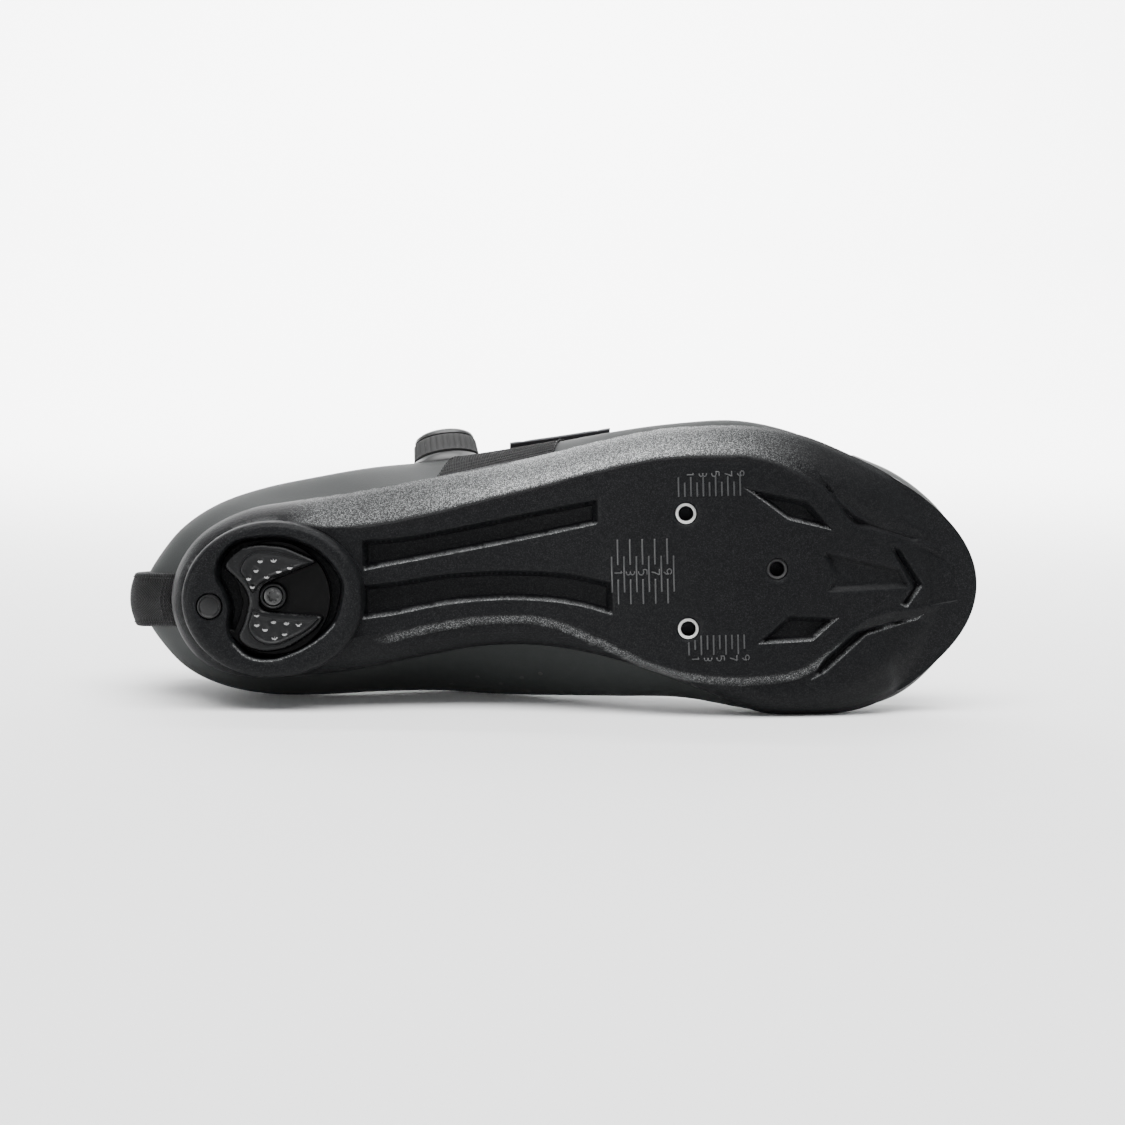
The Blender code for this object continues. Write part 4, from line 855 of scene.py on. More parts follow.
# Dark microfibre for cut edges, also used on the air holes, where it is partly the lining's colour and partly
# painted shade
CUT_EDGE_AND_HOLE_SHADE = Microfibre("cut_edge_and_hole_shade", (0.010, 0.0105, 0.011), 0.75, worn=(0.016, 0.016, 0.016))
TOE_FILM = Microfibre(
    "toe_cap_film", (0.014, 0.0152, 0.0152), 0.50, specular=0.18, grain=0.40 * MM, worn=(0.017, 0.018, 0.018)
)
STRAP_SKIN = Microfibre(
    "strap_microfibre", (0.0055, 0.0058, 0.006), 0.60, specular=0.16, grain=0.5 * MM,
    worn=(0.0085, 0.0088, 0.009)
)
LINING = Weave(
    "collar_lining", (0.005, 0.005, 0.0053), 0.9, specular=0.15, sheen=0.05, pattern="cloth", pitch=0.9 * MM,
    thread=(0.02, 0.02, 0.021)
)
SIDE_MESH = Weave(
    "side_mesh", (0.0018, 0.0018, 0.002), 0.85, specular=0.18, pattern="cloth", pitch=1.5 * MM,
    depth=0.45 * MM, thread=(0.018, 0.0185, 0.019)
)
WEBBING = Weave(
    "heel_webbing", (0.0010, 0.0010, 0.0012), 0.75, specular=0.12, pattern="cloth", weave=Effect.HERRINGBONE,
    pitch=1.0 * MM, depth=0.20 * MM, thread=(0.018, 0.0182, 0.0186)
)
TONGUE_CLOTH = Weave(
    "tongue_cloth", (0.004, 0.004, 0.0043), 0.85, specular=0.15, sheen=0.04, pattern="cloth",
    pitch=1.3 * MM, depth=0.3 * MM, thread=(0.016, 0.0165, 0.017)
)
INSOLE_CLOTH = Weave(
    "insole_cloth", (0.014, 0.0145, 0.015), 0.9, sheen=0.05, pattern="cloth", pitch=0.8 * MM,
    thread=(0.032, 0.033, 0.034)
)
STRAP_PAD = Weave(
    "strap_padding", (0.004, 0.004, 0.0043), 0.8, specular=0.15, sheen=0.04, pattern="cloth",
    pitch=1.1 * MM, depth=0.25 * MM, thread=(0.016, 0.0165, 0.017)
)
THREAD = Weave(
    "sewing_thread", (0.007, 0.0072, 0.0074), 0.7, specular=0.2, pitch=0.4 * MM, depth=0.08 * MM,
    thread=(0.02, 0.02, 0.021)
)
PAD_RUBBER = Moulded(
    "heel_pad_rubber", (0.0058, 0.0060, 0.0063), 0.38, specular=0.16, grain=0.5 * MM, depth=0.05 * MM,
    bloom=(0.010, 0.010, 0.0104)
)
# Darker rubber for the pad's deep ground and its hidden sides: painted shade
PAD_PAINTED_SHADE = Moulded(
    "heel_pad_painted_shade", (0.0014, 0.0014, 0.0015), 0.5, specular=0.08, bloom=(0.0022, 0.0022, 0.0022)
)
# Light grey on the lower side of each dimple: a painted glint
PAD_PAINTED_GLINT = Moulded("heel_pad_painted_glint", (0.20, 0.20, 0.20), 0.30, bloom=(0.26, 0.26, 0.26))
PLUG_RUBBER = Moulded("plug_rubber", (0.004, 0.004, 0.0043), 0.34, specular=0.3, bloom=(0.010, 0.010, 0.010))
DIAL_PLASTIC = Moulded(
    "dial_plastic", (0.0035, 0.0035, 0.0038), 0.34, specular=0.28, bloom=(0.010, 0.010, 0.010)
)
DIAL_RUBBER = Moulded(
    "dial_rubber", (0.0035, 0.0035, 0.0038), 0.5, specular=0.20, bloom=(0.012, 0.012, 0.012)
)
INSERT_STEEL = Turned("insert_steel", (0.42, 0.42, 0.41), 0.26, metallic=1.0)
SCREW_STEEL = Turned("screw_steel", (0.06, 0.06, 0.06), 0.32, metallic=1.0)
# Near-black metal for the inserts' bores: painted shade in the holes
BORE_PAINTED_SHADE = Turned("bore_painted_shade", (0.012, 0.012, 0.013), 0.45, metallic=1.0)
CABLE_STEEL = Turned("cable_steel", (0.30, 0.30, 0.30), 0.35, metallic=1.0)


def resampled(points: Array, step: float, closed: bool = True) -> Array:
    """A line through points, read at even steps of its own length."""
    line = np.concatenate([points, points[:1]]) if closed else points
    lengths = run_of(line)
    count = max(int(round(lengths[-1] / step)), 3)
    at = np.linspace(0, lengths[-1], count + 1)
    if closed:
        at = at[:-1]
    return np.stack([np.interp(at, lengths, line[:, k]) for k in range(line.shape[1])], 1)


def soft_corners(corners: Array, radius: float, step: float = 0.9 * MM) -> Array:
    """A closed outline whose corners are parabolas from one side to the next, read at even steps.

    Args:
        corners: The outline's corners in plan.
        radius: How far from each corner its round starts, at most 0.45 of the shorter side.
        step: Distance between the outline's points.

    Returns:
        The outline's points.
    """
    before, after = np.roll(corners, 1, axis=0), np.roll(corners, -1, axis=0)
    sides = [np.linalg.norm(other - corners, axis=1, keepdims=True) for other in (before, after)]
    first = corners + (before - corners) * np.minimum(radius / sides[0], 0.45)
    last = corners + (after - corners) * np.minimum(radius / sides[1], 0.45)
    t = np.linspace(0, 1, 6)[None, :, None]
    arcs = first[:, None] * (1 - t) ** 2 + corners[:, None] * 2 * t * (1 - t) + last[:, None] * t**2
    return resampled(arcs.reshape(-1, 2), step)


def circle(middle: Sequence[float], radius: float | Sequence[float], count: int = 40) -> Array:
    """A circle or ellipse in plan."""
    return np.asarray(middle) + heading(full_turn(count)) * radius


def inset_loop(loop: Array, distance: float) -> Array:
    """A closed outline moved inwards along its own normals, limited at sharp corners."""
    before, after = np.roll(loop, 1, axis=0), np.roll(loop, -1, axis=0)
    area = np.sum(loop[:, 0] * after[:, 1] - after[:, 0] * loop[:, 1])
    sides = [unit(loop - before), unit(after - loop)]
    first, second = (np.stack([-side[:, 1], side[:, 0]], 1) * np.sign(area) for side in sides)
    inwards = first + second
    inwards = inwards / np.maximum(np.sum(inwards * first, axis=1, keepdims=True), 0.5)
    return loop + inwards * distance


def depth_in(points: Array, loop: Array) -> tuple[Array, Array]:
    """How far points lie inside a closed outline, negative outside, and their nearest places on it.

    The distance is to the nearest of the outline's sides, and its sign comes from how many sides a line
    from the point crosses.
    """
    start, end = loop, np.roll(loop, -1, axis=0)
    along = end - start
    squared = np.maximum(np.sum(along * along, axis=1), 1e-18)
    depth, nearest = np.empty(len(points)), np.empty((len(points), 2))
    for block in np.array_split(np.arange(len(points)), max(1, len(points) // 4000)):
        here = points[block][:, None]
        t = np.clip(np.sum((here - start) * along, axis=2) / squared, 0, 1)
        foot = start + t[..., None] * along
        gap = np.linalg.norm(here - foot, axis=2)
        best = np.argmin(gap, axis=1)
        rows = np.arange(len(block))
        crosses = (start[:, 1] > here[..., 1]) != (end[:, 1] > here[..., 1])
        rise = np.where(np.abs(along[:, 1]) < 1e-15, 1e-15, along[:, 1])
        meets = start[:, 0] + (here[..., 1] - start[:, 1]) / rise * along[:, 0]
        inside = np.sum(crosses & (here[..., 0] < meets), axis=1) % 2 == 1
        depth[block] = np.where(inside, 1, -1) * gap[rows, best]
        nearest[block] = foot[rows, best]
    return depth, nearest


def plan_mesh(loops: Sequence[Array], step: float, margin: float) -> tuple[Array, list[list[int]]]:
    """Triangulates the inside of an outline, with other outlines in it as fixed edges.

    Args:
        loops: Closed lines in plan. The first is the outline, and the others are kept where they lie in it.
        step: Pitch of the points that fill the rest.
        margin: How far from the outline the fill starts.

    Returns:
        The points in plan, and the triangles.
    """
    outline = loops[0]
    low, high = outline.min(0), outline.max(0)
    x, y = np.meshgrid(*(np.arange(a, b, step) for a, b in zip(low, high)))
    x = x + step / 2 * (np.arange(len(x)) % 2)[:, None]
    fill = np.stack([x.ravel(), y.ravel()], 1)
    place = np.arange(len(outline))
    points, edges, start = [outline], [np.stack([place, np.roll(place, -1)], 1)], len(outline)
    for loop in loops[1:]:
        kept = loop[depth_in(loop, outline)[0] > 0.25 * MM]
        place = np.arange(len(kept))
        joined = np.stack([place, np.roll(place, -1)], 1)
        if len(kept) < len(loop):
            joined = joined[np.linalg.norm(kept[joined[:, 0]] - kept[joined[:, 1]], axis=1) < 3 * MM]
        points.append(kept)
        edges.append(joined + start)
        start += len(kept)
    points.append(fill[depth_in(fill, outline)[0] > margin])
    flat = [Vector(point) for point in np.concatenate(points).tolist()]
    made = delaunay_2d_cdt(flat, np.concatenate(edges).tolist(), [], 0, 1e-6)
    plan = np.array([tuple(v) for v in made[0]])
    faces = np.array(made[2])
    return plan, faces[depth_in(plan[faces].mean(axis=1), outline)[0] > 0].tolist()


@dataclass(frozen=True)
class Relief:
    """A recess in the sole's underside, or a raised land where its section is negative.

    The section gives, at distances in from the outline, how deep the surface lies, both in metres.
    """

    outline: Array
    section: tuple[tuple[float, float], ...]
    highlit_bevel: bool = False

    def loops(self) -> list[Array]:
        """The outline at each distance of the section, as far as it still has an inside."""
        size = np.ptp(self.outline, axis=0).min()
        return [inset_loop(self.outline, inset) for inset, _ in self.section if inset < 0.45 * size]

    def depth(self, points: Array) -> tuple[Array, Array]:
        """How deep the relief is at points in plan, and a mark for a painted highlight on the bevel of its
        inner side's edge.
        """
        low, high = self.outline.min(0) - 1 * MM, self.outline.max(0) + 1 * MM
        near = np.all((points > low) & (points < high), axis=1)
        made, mark = np.zeros(len(points)), np.zeros(len(points))
        if near.any():
            inside, foot = depth_in(points[near], self.outline)
            insets, depths = (np.array(part) for part in zip(*self.section))
            made[near] = np.interp(inside, insets, depths, left=0.0)
            # Painted highlight: only the bevel on the inner side's edge, which faces up to the light, is
            # marked
            lower = foot[:, 1] > points[near][:, 1] + 0.6 * np.abs(inside)
            mark[near] = (inside > 0.02 * MM) & (inside < 0.75 * MM) & lower & self.highlit_bevel
        return made, mark


def section(*pairs: tuple[float, float]) -> tuple[tuple[float, float], ...]:
    """A relief's section given in millimetres."""
    return tuple((inset * MM, depth * MM) for inset, depth in pairs)


@dataclass
class Underside:
    """The sole's underside as a height over its plan, with every ridge, channel, pocket and hole."""

    rim_columns: int = 300
    grid_step: float = 1.9 * MM
    bead: float = 0.35 * MM
    ridge_width: float = 3.6 * MM
    ridge_height: float = 2.4 * MM
    # Reliefs deeper than this get a painted highlight on the bevel of their inner side's edge, which faces up
    # to the light
    highlight_from: float = 2.5 * MM
    # Light painted on the outer wall: how much at the heel, then where along it rises, over how much, and by
    # how much
    heel_painted_light: float = 0.04
    painted_light_steps: tuple[tuple[float, float, float], ...] = ((0.17, 0.06, 0.40), (0.28, 0.22, 0.56))
    # Painted highlight on the band of the inner side's ridge, which faces the overhead light
    band_painted_light: float = 0.42
    housing_middle: tuple[float, float] = (0.1656, 0.0)
    housing_radii: tuple[float, float] = (0.1054, 0.2822)
    # Share of the housing's radii, height in millimetres
    housing_section: tuple[tuple[float, float], ...] = (
        (0.00, 0.3), (0.78, 0.55), (0.84, 0.10), (0.885, 0.0), (0.925, 0.18), (0.955, 0.70), (0.98, 1.60),
        (0.995, 2.80), (1.00, 3.60), (1.008, 20.0),
    )
    # How the wall goes from the plateau's edge to the rim: shares of both distances
    outer_wall: tuple[tuple[float, float], ...] = ((0, 0), (0.30, 0.14), (0.62, 0.40), (0.88, 0.74), (1, 1))
    inner_wall: tuple[tuple[float, float], ...] = ((0, 0), (0.30, 0.09), (0.62, 0.26), (0.88, 0.58), (1, 1))

    def __post_init__(self) -> None:
        """Works out the outlines and the reliefs."""
        side = np.linspace(0, math.pi, self.rim_columns // 2 + 1)
        self.turns = np.concatenate([side, -side[-2:0:-1]])
        self.rim = np.stack(LAST.outline(RIM_ENDS, RIM, self.turns), 1)
        self.plateau = np.stack(LAST.outline(PLATEAU_ENDS, PLATEAU, self.turns), 1)
        self.centre = scaled(self.housing_middle)
        self.radii = np.array(self.housing_radii) * (SHOE_LENGTH, BALL_WIDTH)
        self.reliefs = self.all_reliefs()

    @staticmethod
    def channel(
        rows: Sequence[tuple[float, float, float]], section_: tuple[tuple[float, float], ...]
    ) -> Relief:
        """A long channel: each row has its place along the shoe and its two sides, joined by a cubic."""
        table = np.array(rows, float)
        along = np.linspace(table[0, 0], table[-1, 0], 60)
        sides = [scaled(np.stack([along, smooth(table[:, 0], table[:, k], along)], 1)) for k in (1, 2)]
        return Relief(soft_corners(np.concatenate([sides[0], sides[1][::-1]]), 0.7 * MM), section_, True)

    def all_reliefs(self) -> dict[str, Relief]:
        """Every recess by name, from its corners as shares of length and ball width."""
        wall = section((0, 0), (0.25, 0.12), (0.5, 0.5), (1.7, 4.7), (2.1, 5.2))
        made = {
            "outer_channel": self.channel(
                (
                    (0.268, -0.2090, -0.0920), (0.300, -0.2130, -0.1090), (0.380, -0.2480, -0.1500),
                    (0.460, -0.2930, -0.1930), (0.545, -0.3390, -0.2440),
                ), wall,
            ),
            "inner_channel": self.channel(
                (
                    (0.266, -0.0450, 0.0840), (0.300, -0.0530, 0.0720), (0.360, -0.0770, 0.0400),
                    (0.452, -0.0850, 0.0265), (0.517, -0.0656, 0.0505), (0.560, -0.0330, 0.0890),
                ), wall,
            ),
        }
        pocket = section((0, 0), (0.2, 0.1), (0.45, 0.5), (1.6, 3.4), (1.9, 3.8))
        groove = section((0, 0), (0.3, 0.2), (1.5, 1.9), (2.0, 2.2))
        shapes = {
            "outer_toe_pocket": (
                ((0.711, -0.368), (0.7895, -0.3125), (0.8210, -0.200), (0.7643, -0.245), (0.7347, -0.316)),
                0.5, pocket,
            ),
            "inner_toe_pocket": (
                ((0.7228, 0.2036), (0.7643, 0.1004), (0.8265, 0.1137), (0.7924, 0.199)), 0.5, pocket,
            ),
            "nose_recess": (
                (
                    (0.7998, -0.137), (0.9035, -0.060), (0.9180, 0.018), (0.8028, 0.024), (0.8130, 0.004),
                    (0.8180, -0.034), (0.8145, -0.078),
                ),
                0.8, section((0, 0), (0.3, 0.15), (1.6, 1.7), (2.2, 1.9)),
            ),
            "arrow_bar": (
                (
                    (0.8880, -0.146), (0.9030, -0.132), (0.9330, 0.008), (0.9110, 0.092), (0.9010, 0.076),
                    (0.9180, 0.012),
                ),
                0.4, section((0, 0), (0.2, 0.1), (1.5, 2.6)),
            ),
            "outer_claw": (
                (
                    (0.8010, -0.425), (0.8440, -0.262), (0.9350, -0.164), (0.9200, -0.150),
                    (0.8450, -0.222), (0.8140, -0.340),
                ),
                0.5, groove,
            ),
            "inner_claw": (
                (
                    (0.7880, 0.345), (0.8050, 0.262), (0.8450, 0.166), (0.9350, 0.112), (0.9250, 0.136),
                    (0.8600, 0.186), (0.8080, 0.318),
                ),
                0.5, section((0, 0), (0.3, 0.2), (1.5, 2.8), (2.0, 3.1)),
            ),
            "heel_cavity": (
                (
                    (0.1281, -0.2282), (0.1560, -0.2370), (0.1835, -0.2347), (0.2160, -0.1920),
                    (0.2330, -0.1450), (0.2453, -0.0887), (0.2500, -0.0460), (0.2486, -0.0075),
                    (0.2450, 0.0450), (0.2388, 0.0932), (0.2260, 0.1370), (0.2095, 0.1724),
                    (0.1900, 0.2030), (0.1672, 0.2253), (0.1500, 0.2250), (0.1346, 0.2130),
                    (0.1210, 0.1780), (0.1118, 0.1355), (0.1090, 0.0845), (0.1134, 0.0342),
                    (0.1069, -0.0270), (0.0975, -0.0784), (0.0988, -0.1390), (0.1118, -0.1989),
                ),
                4.0, section((0, 0), (0.3, 0.1), (0.6, 0.5), (0.8, 1.2), (1.5, 7.6), (2.1, 8.2)),
            ),
            "nose_panel": (
                ((0.9390, -0.128), (0.9740, -0.060), (0.9760, 0.070), (0.9400, 0.086)),
                0.8, section((0, 0), (0.35, 0.3)),
            ),
        }
        for name, (corners, radius, profile) in shapes.items():
            is_deep = profile[-1][1] > self.highlight_from
            made[name] = Relief(soft_corners(scaled(corners), radius * MM), profile, is_deep)
        hole = section((0, 0), (0.5, 0.08), (1.2, 0.30), (1.6, 0.5), (1.75, 0.9), (1.8, 5.4))
        for name, place in nut_places().items():
            made[f"seat_of_{name}"] = Relief(circle(place, 5.3 * MM), hole)
        plug = section((0, 0), (0.2, 0.15), (0.35, 2.5))
        made["seat_of_plug"] = Relief(circle(scaled(PLUG_PLACE), 4.5 * MM), plug)
        return made

    def base(self, points: Array) -> tuple[Array, Array]:
        """Heights of the plateau and the walls without reliefs, and how much light is painted on its walls.

        Outside the plateau a point's share of the way out is its distance from the plateau's edge, divided
        by the sum of its distances from that edge and from the rim. The inner side's wall starts with a
        short steep ridge, and a bead runs along the plateau's edge.
        """
        inside, edge = depth_in(points, self.plateau)
        to_rim, rim = depth_in(points, self.rim)
        flat = LAST.side_height(1, points[:, 0])
        low, high = LAST.side_height(1, edge[:, 0]), LAST.side_height(3, rim[:, 0]) - ROUNDING
        away = np.maximum(-inside, 0)
        out = away / np.maximum(away + np.maximum(to_rim, 0), 1e-9)
        share = (points[:, 0] / SHOE_LENGTH - RIM_ENDS[0]) / (1 - RIM_ENDS[0])
        middle = smooth(column(RIM, 0), column(RIM, 1), share)
        inner = ease((points[:, 1] - middle * BALL_WIDTH) / (0.12 * BALL_WIDTH) + 0.5)
        outer_way = np.interp(out, *np.transpose(self.outer_wall))
        inner_way = np.interp(out, *np.transpose(self.inner_wall))
        wall = low + (high - low) * (outer_way * (1 - inner) + inner_way * inner)
        along = points[:, 0] / SHOE_LENGTH
        reach = ease((along - 0.27) / 0.06) * ease((0.97 - along) / 0.08) * inner
        ridge = low + reach * self.ridge_height * np.clip(away / self.ridge_width, 0, 1)
        step = low + ease((along - 0.74) / 0.06) * (1 - inner) * 1.3 * MM * ease(away / (1.2 * MM))
        height = np.where(inside > 0, flat, np.maximum(np.maximum(wall, ridge), step))
        bead = np.exp(-(((inside - 0.5 * MM) / (0.5 * MM)) ** 2))
        bead = bead - 0.8 * np.exp(-(((inside - 2.0 * MM) / (0.6 * MM)) ** 2))
        height = height - self.bead * bead * ease((along - 0.24) / 0.03) * (0.4 + 0.6 * (1 - inner))
        # Painted light on the outer wall: little at the heel, rising along the shoe and fading towards the
        # toe; the inner ridge's band gets a painted highlight
        outer_painted_light = self.heel_painted_light
        for begin, span, gain in self.painted_light_steps:
            outer_painted_light = outer_painted_light + gain * ease((along - begin) / span)
        outer_painted_light = outer_painted_light * (1 - 0.95 * ease((along - 0.58) / 0.24))
        band = ease((away - 0.4 * MM) / (0.5 * MM)) * ease((self.ridge_width - away) / (0.5 * MM))
        band = self.band_painted_light * band * ease((along - 0.27) / 0.05) * ease((0.85 - along) / 0.04)
        painted_shine = outer_painted_light * (1 - inner) + np.maximum(0.03, band) * inner
        return height, painted_shine * ease(away / (1.0 * MM))

    def height(self, points: Array) -> tuple[Array, Array]:
        """Heights of the whole underside at points in plan, and its wall mark, which carries painted light and
        highlights.
        """
        height, wall = self.base(points)
        share = np.linalg.norm((points - self.centre) / self.radii, axis=1)
        shares, heights = (np.array(part) for part in zip(*self.housing_section))
        housing = np.interp(share, shares, heights * MM)
        # The heel housing gets almost no painted light, only a trace on its outer ring
        wall = np.where(housing < height, 0.05 * (share > 0.9), wall)
        height = np.minimum(height, housing)
        depth, bevel_highlight = np.zeros(len(points)), np.zeros(len(points))
        for relief in self.reliefs.values():
            deep, mark = relief.depth(points)
            depth, bevel_highlight = np.maximum(depth, deep), np.maximum(bevel_highlight, mark)
        # Inside reliefs the walls' painted light drops to a fifth, and bevels get their painted highlight
        return height + depth, np.where(depth > 0.03 * MM, np.maximum(0.55 * bevel_highlight, 0.2 * wall), wall)

    def mesh(self) -> tuple[Array, list[Sequence[int]], Array]:
        """Points, faces and wall marks of the underside.

        The plan is triangulated with every outline as a fixed edge, so that no edge is ragged, and each
        point is then lifted to its height.
        """
        loops = [self.rim] + [inset_loop(self.rim, k * MM) for k in (0.3, 0.7, 1.3, 2.2)]
        loops += [inset_loop(self.plateau, k * MM) for k in (0.0, 0.5, 1.1, 2.0, 2.9)]
        loops.append(inset_loop(self.plateau, -self.ridge_width))
        loops += [inset_loop(self.plateau, -1.2 * MM)]
        housing = (share for share, _ in self.housing_section if share > 0.8)
        loops += [circle(self.centre, self.radii * share, 160) for share in housing]
        for relief in self.reliefs.values():
            loops += relief.loops()
        plan, faces = plan_mesh(loops, self.grid_step, 3.0 * MM)
        height, wall = self.height(plan)
        on_rim = np.abs(depth_in(plan, self.rim)[0]) < 1e-6
        height[on_rim] = LAST.side_height(3, plan[on_rim, 0]) - ROUNDING
        return np.column_stack([plan, height]), faces, wall


@dataclass
class Outsole:
    """The moulded cup sole, its cleat scales and its inserts."""

    underside: Underside
    mark_width: float = 0.55 * MM
    mark_height: float = 0.22 * MM

    def build(self) -> None:
        """Makes the sole, then what is moulded on it and set in it."""
        settle(self.sole(), "composite", "outsole")
        settle(self.scales(), "composite")
        for name in nut_places():
            settle(self.insert(name), "insert_steel", name)

    def sole(self) -> bpy.types.Object:
        """The underside, then rings over the rim, down the cup's wall and across its floor."""
        shape = Shape()
        points, faces, wall = self.underside.mesh()
        shape.add(points, faces, wall=wall)
        turns = self.underside.turns
        rings = []
        angles = np.linspace(0, math.pi / 2, 4)
        steps = [(ROUNDING * (1 - math.cos(a)), ROUNDING * (1 - math.sin(a))) for a in angles]
        for inset, drop in steps + [(CUP_LIP, 0.0)]:
            x, y = LAST.outline(RIM_ENDS, RIM, turns, inset)
            rings.append(stacked(x, y, LAST.side_height(3, x) - drop))
        rings[0] = stacked(self.underside.rim[:, 0], self.underside.rim[:, 1], rings[0][:, 2])
        x, y = LAST.outline(RIM_ENDS, RIM, turns, CUP_WALL + CUP_LIP)
        rings.append(stacked(x, y, LAST.side_height(2, x)))
        grid = np.array(rings)
        shape.grid(grid, around=True, wall=np.full(grid.shape[:2], 0.05))
        count = len(turns)
        floor = [[i, i + 1, (count - i - 1) % count, (count - i) % count] for i in range(count // 2)]
        floor = [list(dict.fromkeys(face)) for face in floor]
        shape.add(rings[-1], [face for face in floor if len(face) > 2], wall=np.zeros(count))
        return shape.build("sole", [COMPOSITE], sharp=32.0, merge=2e-6)

    def ribbon(self, shape: Shape, line: Array, width: float, height: float) -> None:
        """A raised line on the underside: a rounded section of five points carried along the line.

        Args:
            shape: Where the ribbon is added.
            line: Its middle in plan.
            width: Its width.
            height: How far it stands out.
        """
        ahead = unit(np.gradient(line, axis=0))
        aside = np.stack([-ahead[:, 1], ahead[:, 0]], 1)
        place = np.array([-1.0, -0.7, 0.0, 0.7, 1.0])
        rise = np.array([-0.4, 0.75, 1.0, 0.75, -0.4])
        plan = line[:, None] + aside[:, None] * (place * width / 2)[None, :, None]
        z = self.underside.height(plan.reshape(-1, 2))[0].reshape(plan.shape[:2])
        ends = np.ones(len(line))
        ends[[0, -1]] = 0.0
        lift = rise[None, :] * height * ends[:, None] - 0.1 * MM * (1 - ends)[:, None]
        shape.grid(np.dstack([plan, z - lift]), wall=np.zeros(plan.shape[:2]))

    def scales(self) -> bpy.types.Object:
        """The three cleat scales, of lines 2 mm apart, with the odd numbers from 1 to 9 beside them."""
        shape = Shape()
        digits = (1, 3, 5, 7, 9)
        for i in range(11):
            x = (156.5 + 2.0 * i) * MM
            for low, high in ((-17.0, -8.4), (-3.9, 4.4)) if i % 2 else ((-11.5, 0.6),):
                self.stroke(shape, (x, low * MM), (x, high * MM))
        for i, digit in enumerate(digits):
            self.numeral(shape, digit, ((158.5 + 4.0 * i) * MM, -6.15 * MM), 2.7 * MM)
        # First line, inner end, outer end, direction of the longer lines, place and first of the numbers
        side_scales = ((178.6, -30.2, -35.0, -1, -37.6, 182.4), (180.9, 14.8, 19.6, 1, 22.4, 182.9))
        for first, near, far, out, row, start in side_scales:
            for i in range(11 if out < 0 else 10):
                x = (first + 2.0 * i) * MM
                self.stroke(shape, (x, near * MM), (x, (far + 1.8 * out * (i % 2 == 0)) * MM))
            for i, digit in enumerate(digits):
                self.numeral(shape, digit, ((start + 4.1 * i) * MM, row * MM), 2.4 * MM)
        return shape.build("cleat_scales", [SCALE_PAINTED_HIGHLIGHT])

    def stroke(self, shape: Shape, start: Sequence[float], end: Sequence[float]) -> None:
        """A straight raised line between two places in plan."""
        t = np.array([0.0, 0.04, 0.35, 0.65, 0.96, 1.0])[:, None]
        self.ribbon(shape, np.array(start) * (1 - t) + np.array(end) * t, self.mark_width, self.mark_height)

    def numeral(self, shape: Shape, digit: int, place: Sequence[float], height: float) -> None:
        """A raised number with its top towards the toe, read from under the sole.

        Args:
            shape: Where its strokes are added.
            digit: 1, 3, 5, 7 or 9.
            place: Its middle in plan.
            height: Its height.
        """
        bowl = 0.25 * heading(np.linspace(-1, 1, 9) * math.pi * 0.62)
        ring = circle((0.0, 0.22), (0.24, 0.26), 14)
        lines = {
            1: [np.array([(-0.15, 0.3), (0.05, 0.5), (0.05, 0.0), (0.05, -0.5)])],
            3: [bowl + (0.0, 0.25), bowl + (0.0, -0.25)],
            5: [
                np.array([(0.28, 0.5), (-0.2, 0.5), (-0.22, 0.06), (0.0, 0.1)]),
                bowl * (1.1, 1.25) + (0.0, -0.2),
            ],
            7: [np.array([(-0.28, 0.5), (0.28, 0.5), (0.1, 0.0), (0.0, -0.5)])],
            9: [np.concatenate([ring, ring[:1]]), np.array([(0.24, 0.2), (0.22, -0.2), (0.0, -0.5)])],
        }[digit]
        for line in lines:
            fine = resampled(line, 0.11, closed=False) * (1.35 * height, height)
            self.ribbon(shape, fine[:, ::-1] + place, self.mark_width * 0.7, self.mark_height)

    def insert(self, name: str) -> bpy.types.Object:
        """A threaded insert: a turned ring with chamfers, a bore with thread ridges and a blind end.

        The profile is carried round the insert's axis.
        """
        x, y = nut_places()[name]
        top = float(LAST.side_height(1, x)) + NUT_SINK
        front = name.endswith("front")
        # Radius and depth in millimetres, from the shoulder over the face and down the bore
        profile = [
            (3.42, 2.2), (3.42, 0.30), (3.30, 0.06), (3.12, 0.0), (2.62, 0.0), (2.42, 0.18), (2.32, 0.45),
        ]
        threads = [(2.32 - 0.14 * (k % 2), 0.6 + 0.28 * k) for k in range(13)]
        profile += threads + [(2.2, 4.3), (0.0, 4.35)]
        sink = 1.6 * MM if front else 0.0
        angles = full_turn(48)
        table = np.array(profile) * MM
        radius = table[:, :1]
        level = top + sink * 0.6 + table[:, 1:]
        grid = stacked(x + radius * np.cos(angles), y + radius * np.sin(angles), level)
        shape = Shape()
        shape.grid(grid[:6], around=True)
        # From the inner chamfer down, the bore gets the near-black metal: painted shade
        shape.grid(grid[5:], around=True, finish=1)
        face = SCREW_STEEL if front else INSERT_STEEL
        return shape.build(f"insert_{name[10:]}", [face, BORE_PAINTED_SHADE], sharp=28.0)


def turned(
    middle: Array, axis: Array, profile: Sequence[tuple[float, float]], sides: int,
    wave: Callable[[Array, Array], Array] | None = None
) -> Array:
    """A profile carried round an axis, as a grid of points.

    Args:
        middle: A point on the axis.
        axis: The axis's direction, along which the profile's heights rise.
        profile: Radius and height of each ring, in metres.
        sides: Points in a ring.
        wave: What each radius is multiplied by, from its ring's number and the angle.

    Returns:
        The grid, a row for each ring.
    """
    axis = unit(np.asarray(axis, float))
    aside = unit(np.cross(axis, (1.0, 0.0, 0.0)))
    ahead = np.cross(aside, axis)
    table = np.array(profile)
    angles = full_turn(sides)[None, :]
    radius = np.broadcast_to(table[:, :1], (len(table), sides))
    if wave is not None:
        radius = radius * wave(np.arange(len(table))[:, None], angles)
    around = np.cos(angles)[..., None] * ahead + np.sin(angles)[..., None] * aside
    return middle + radius[..., None] * around + table[:, 1][:, None, None] * axis


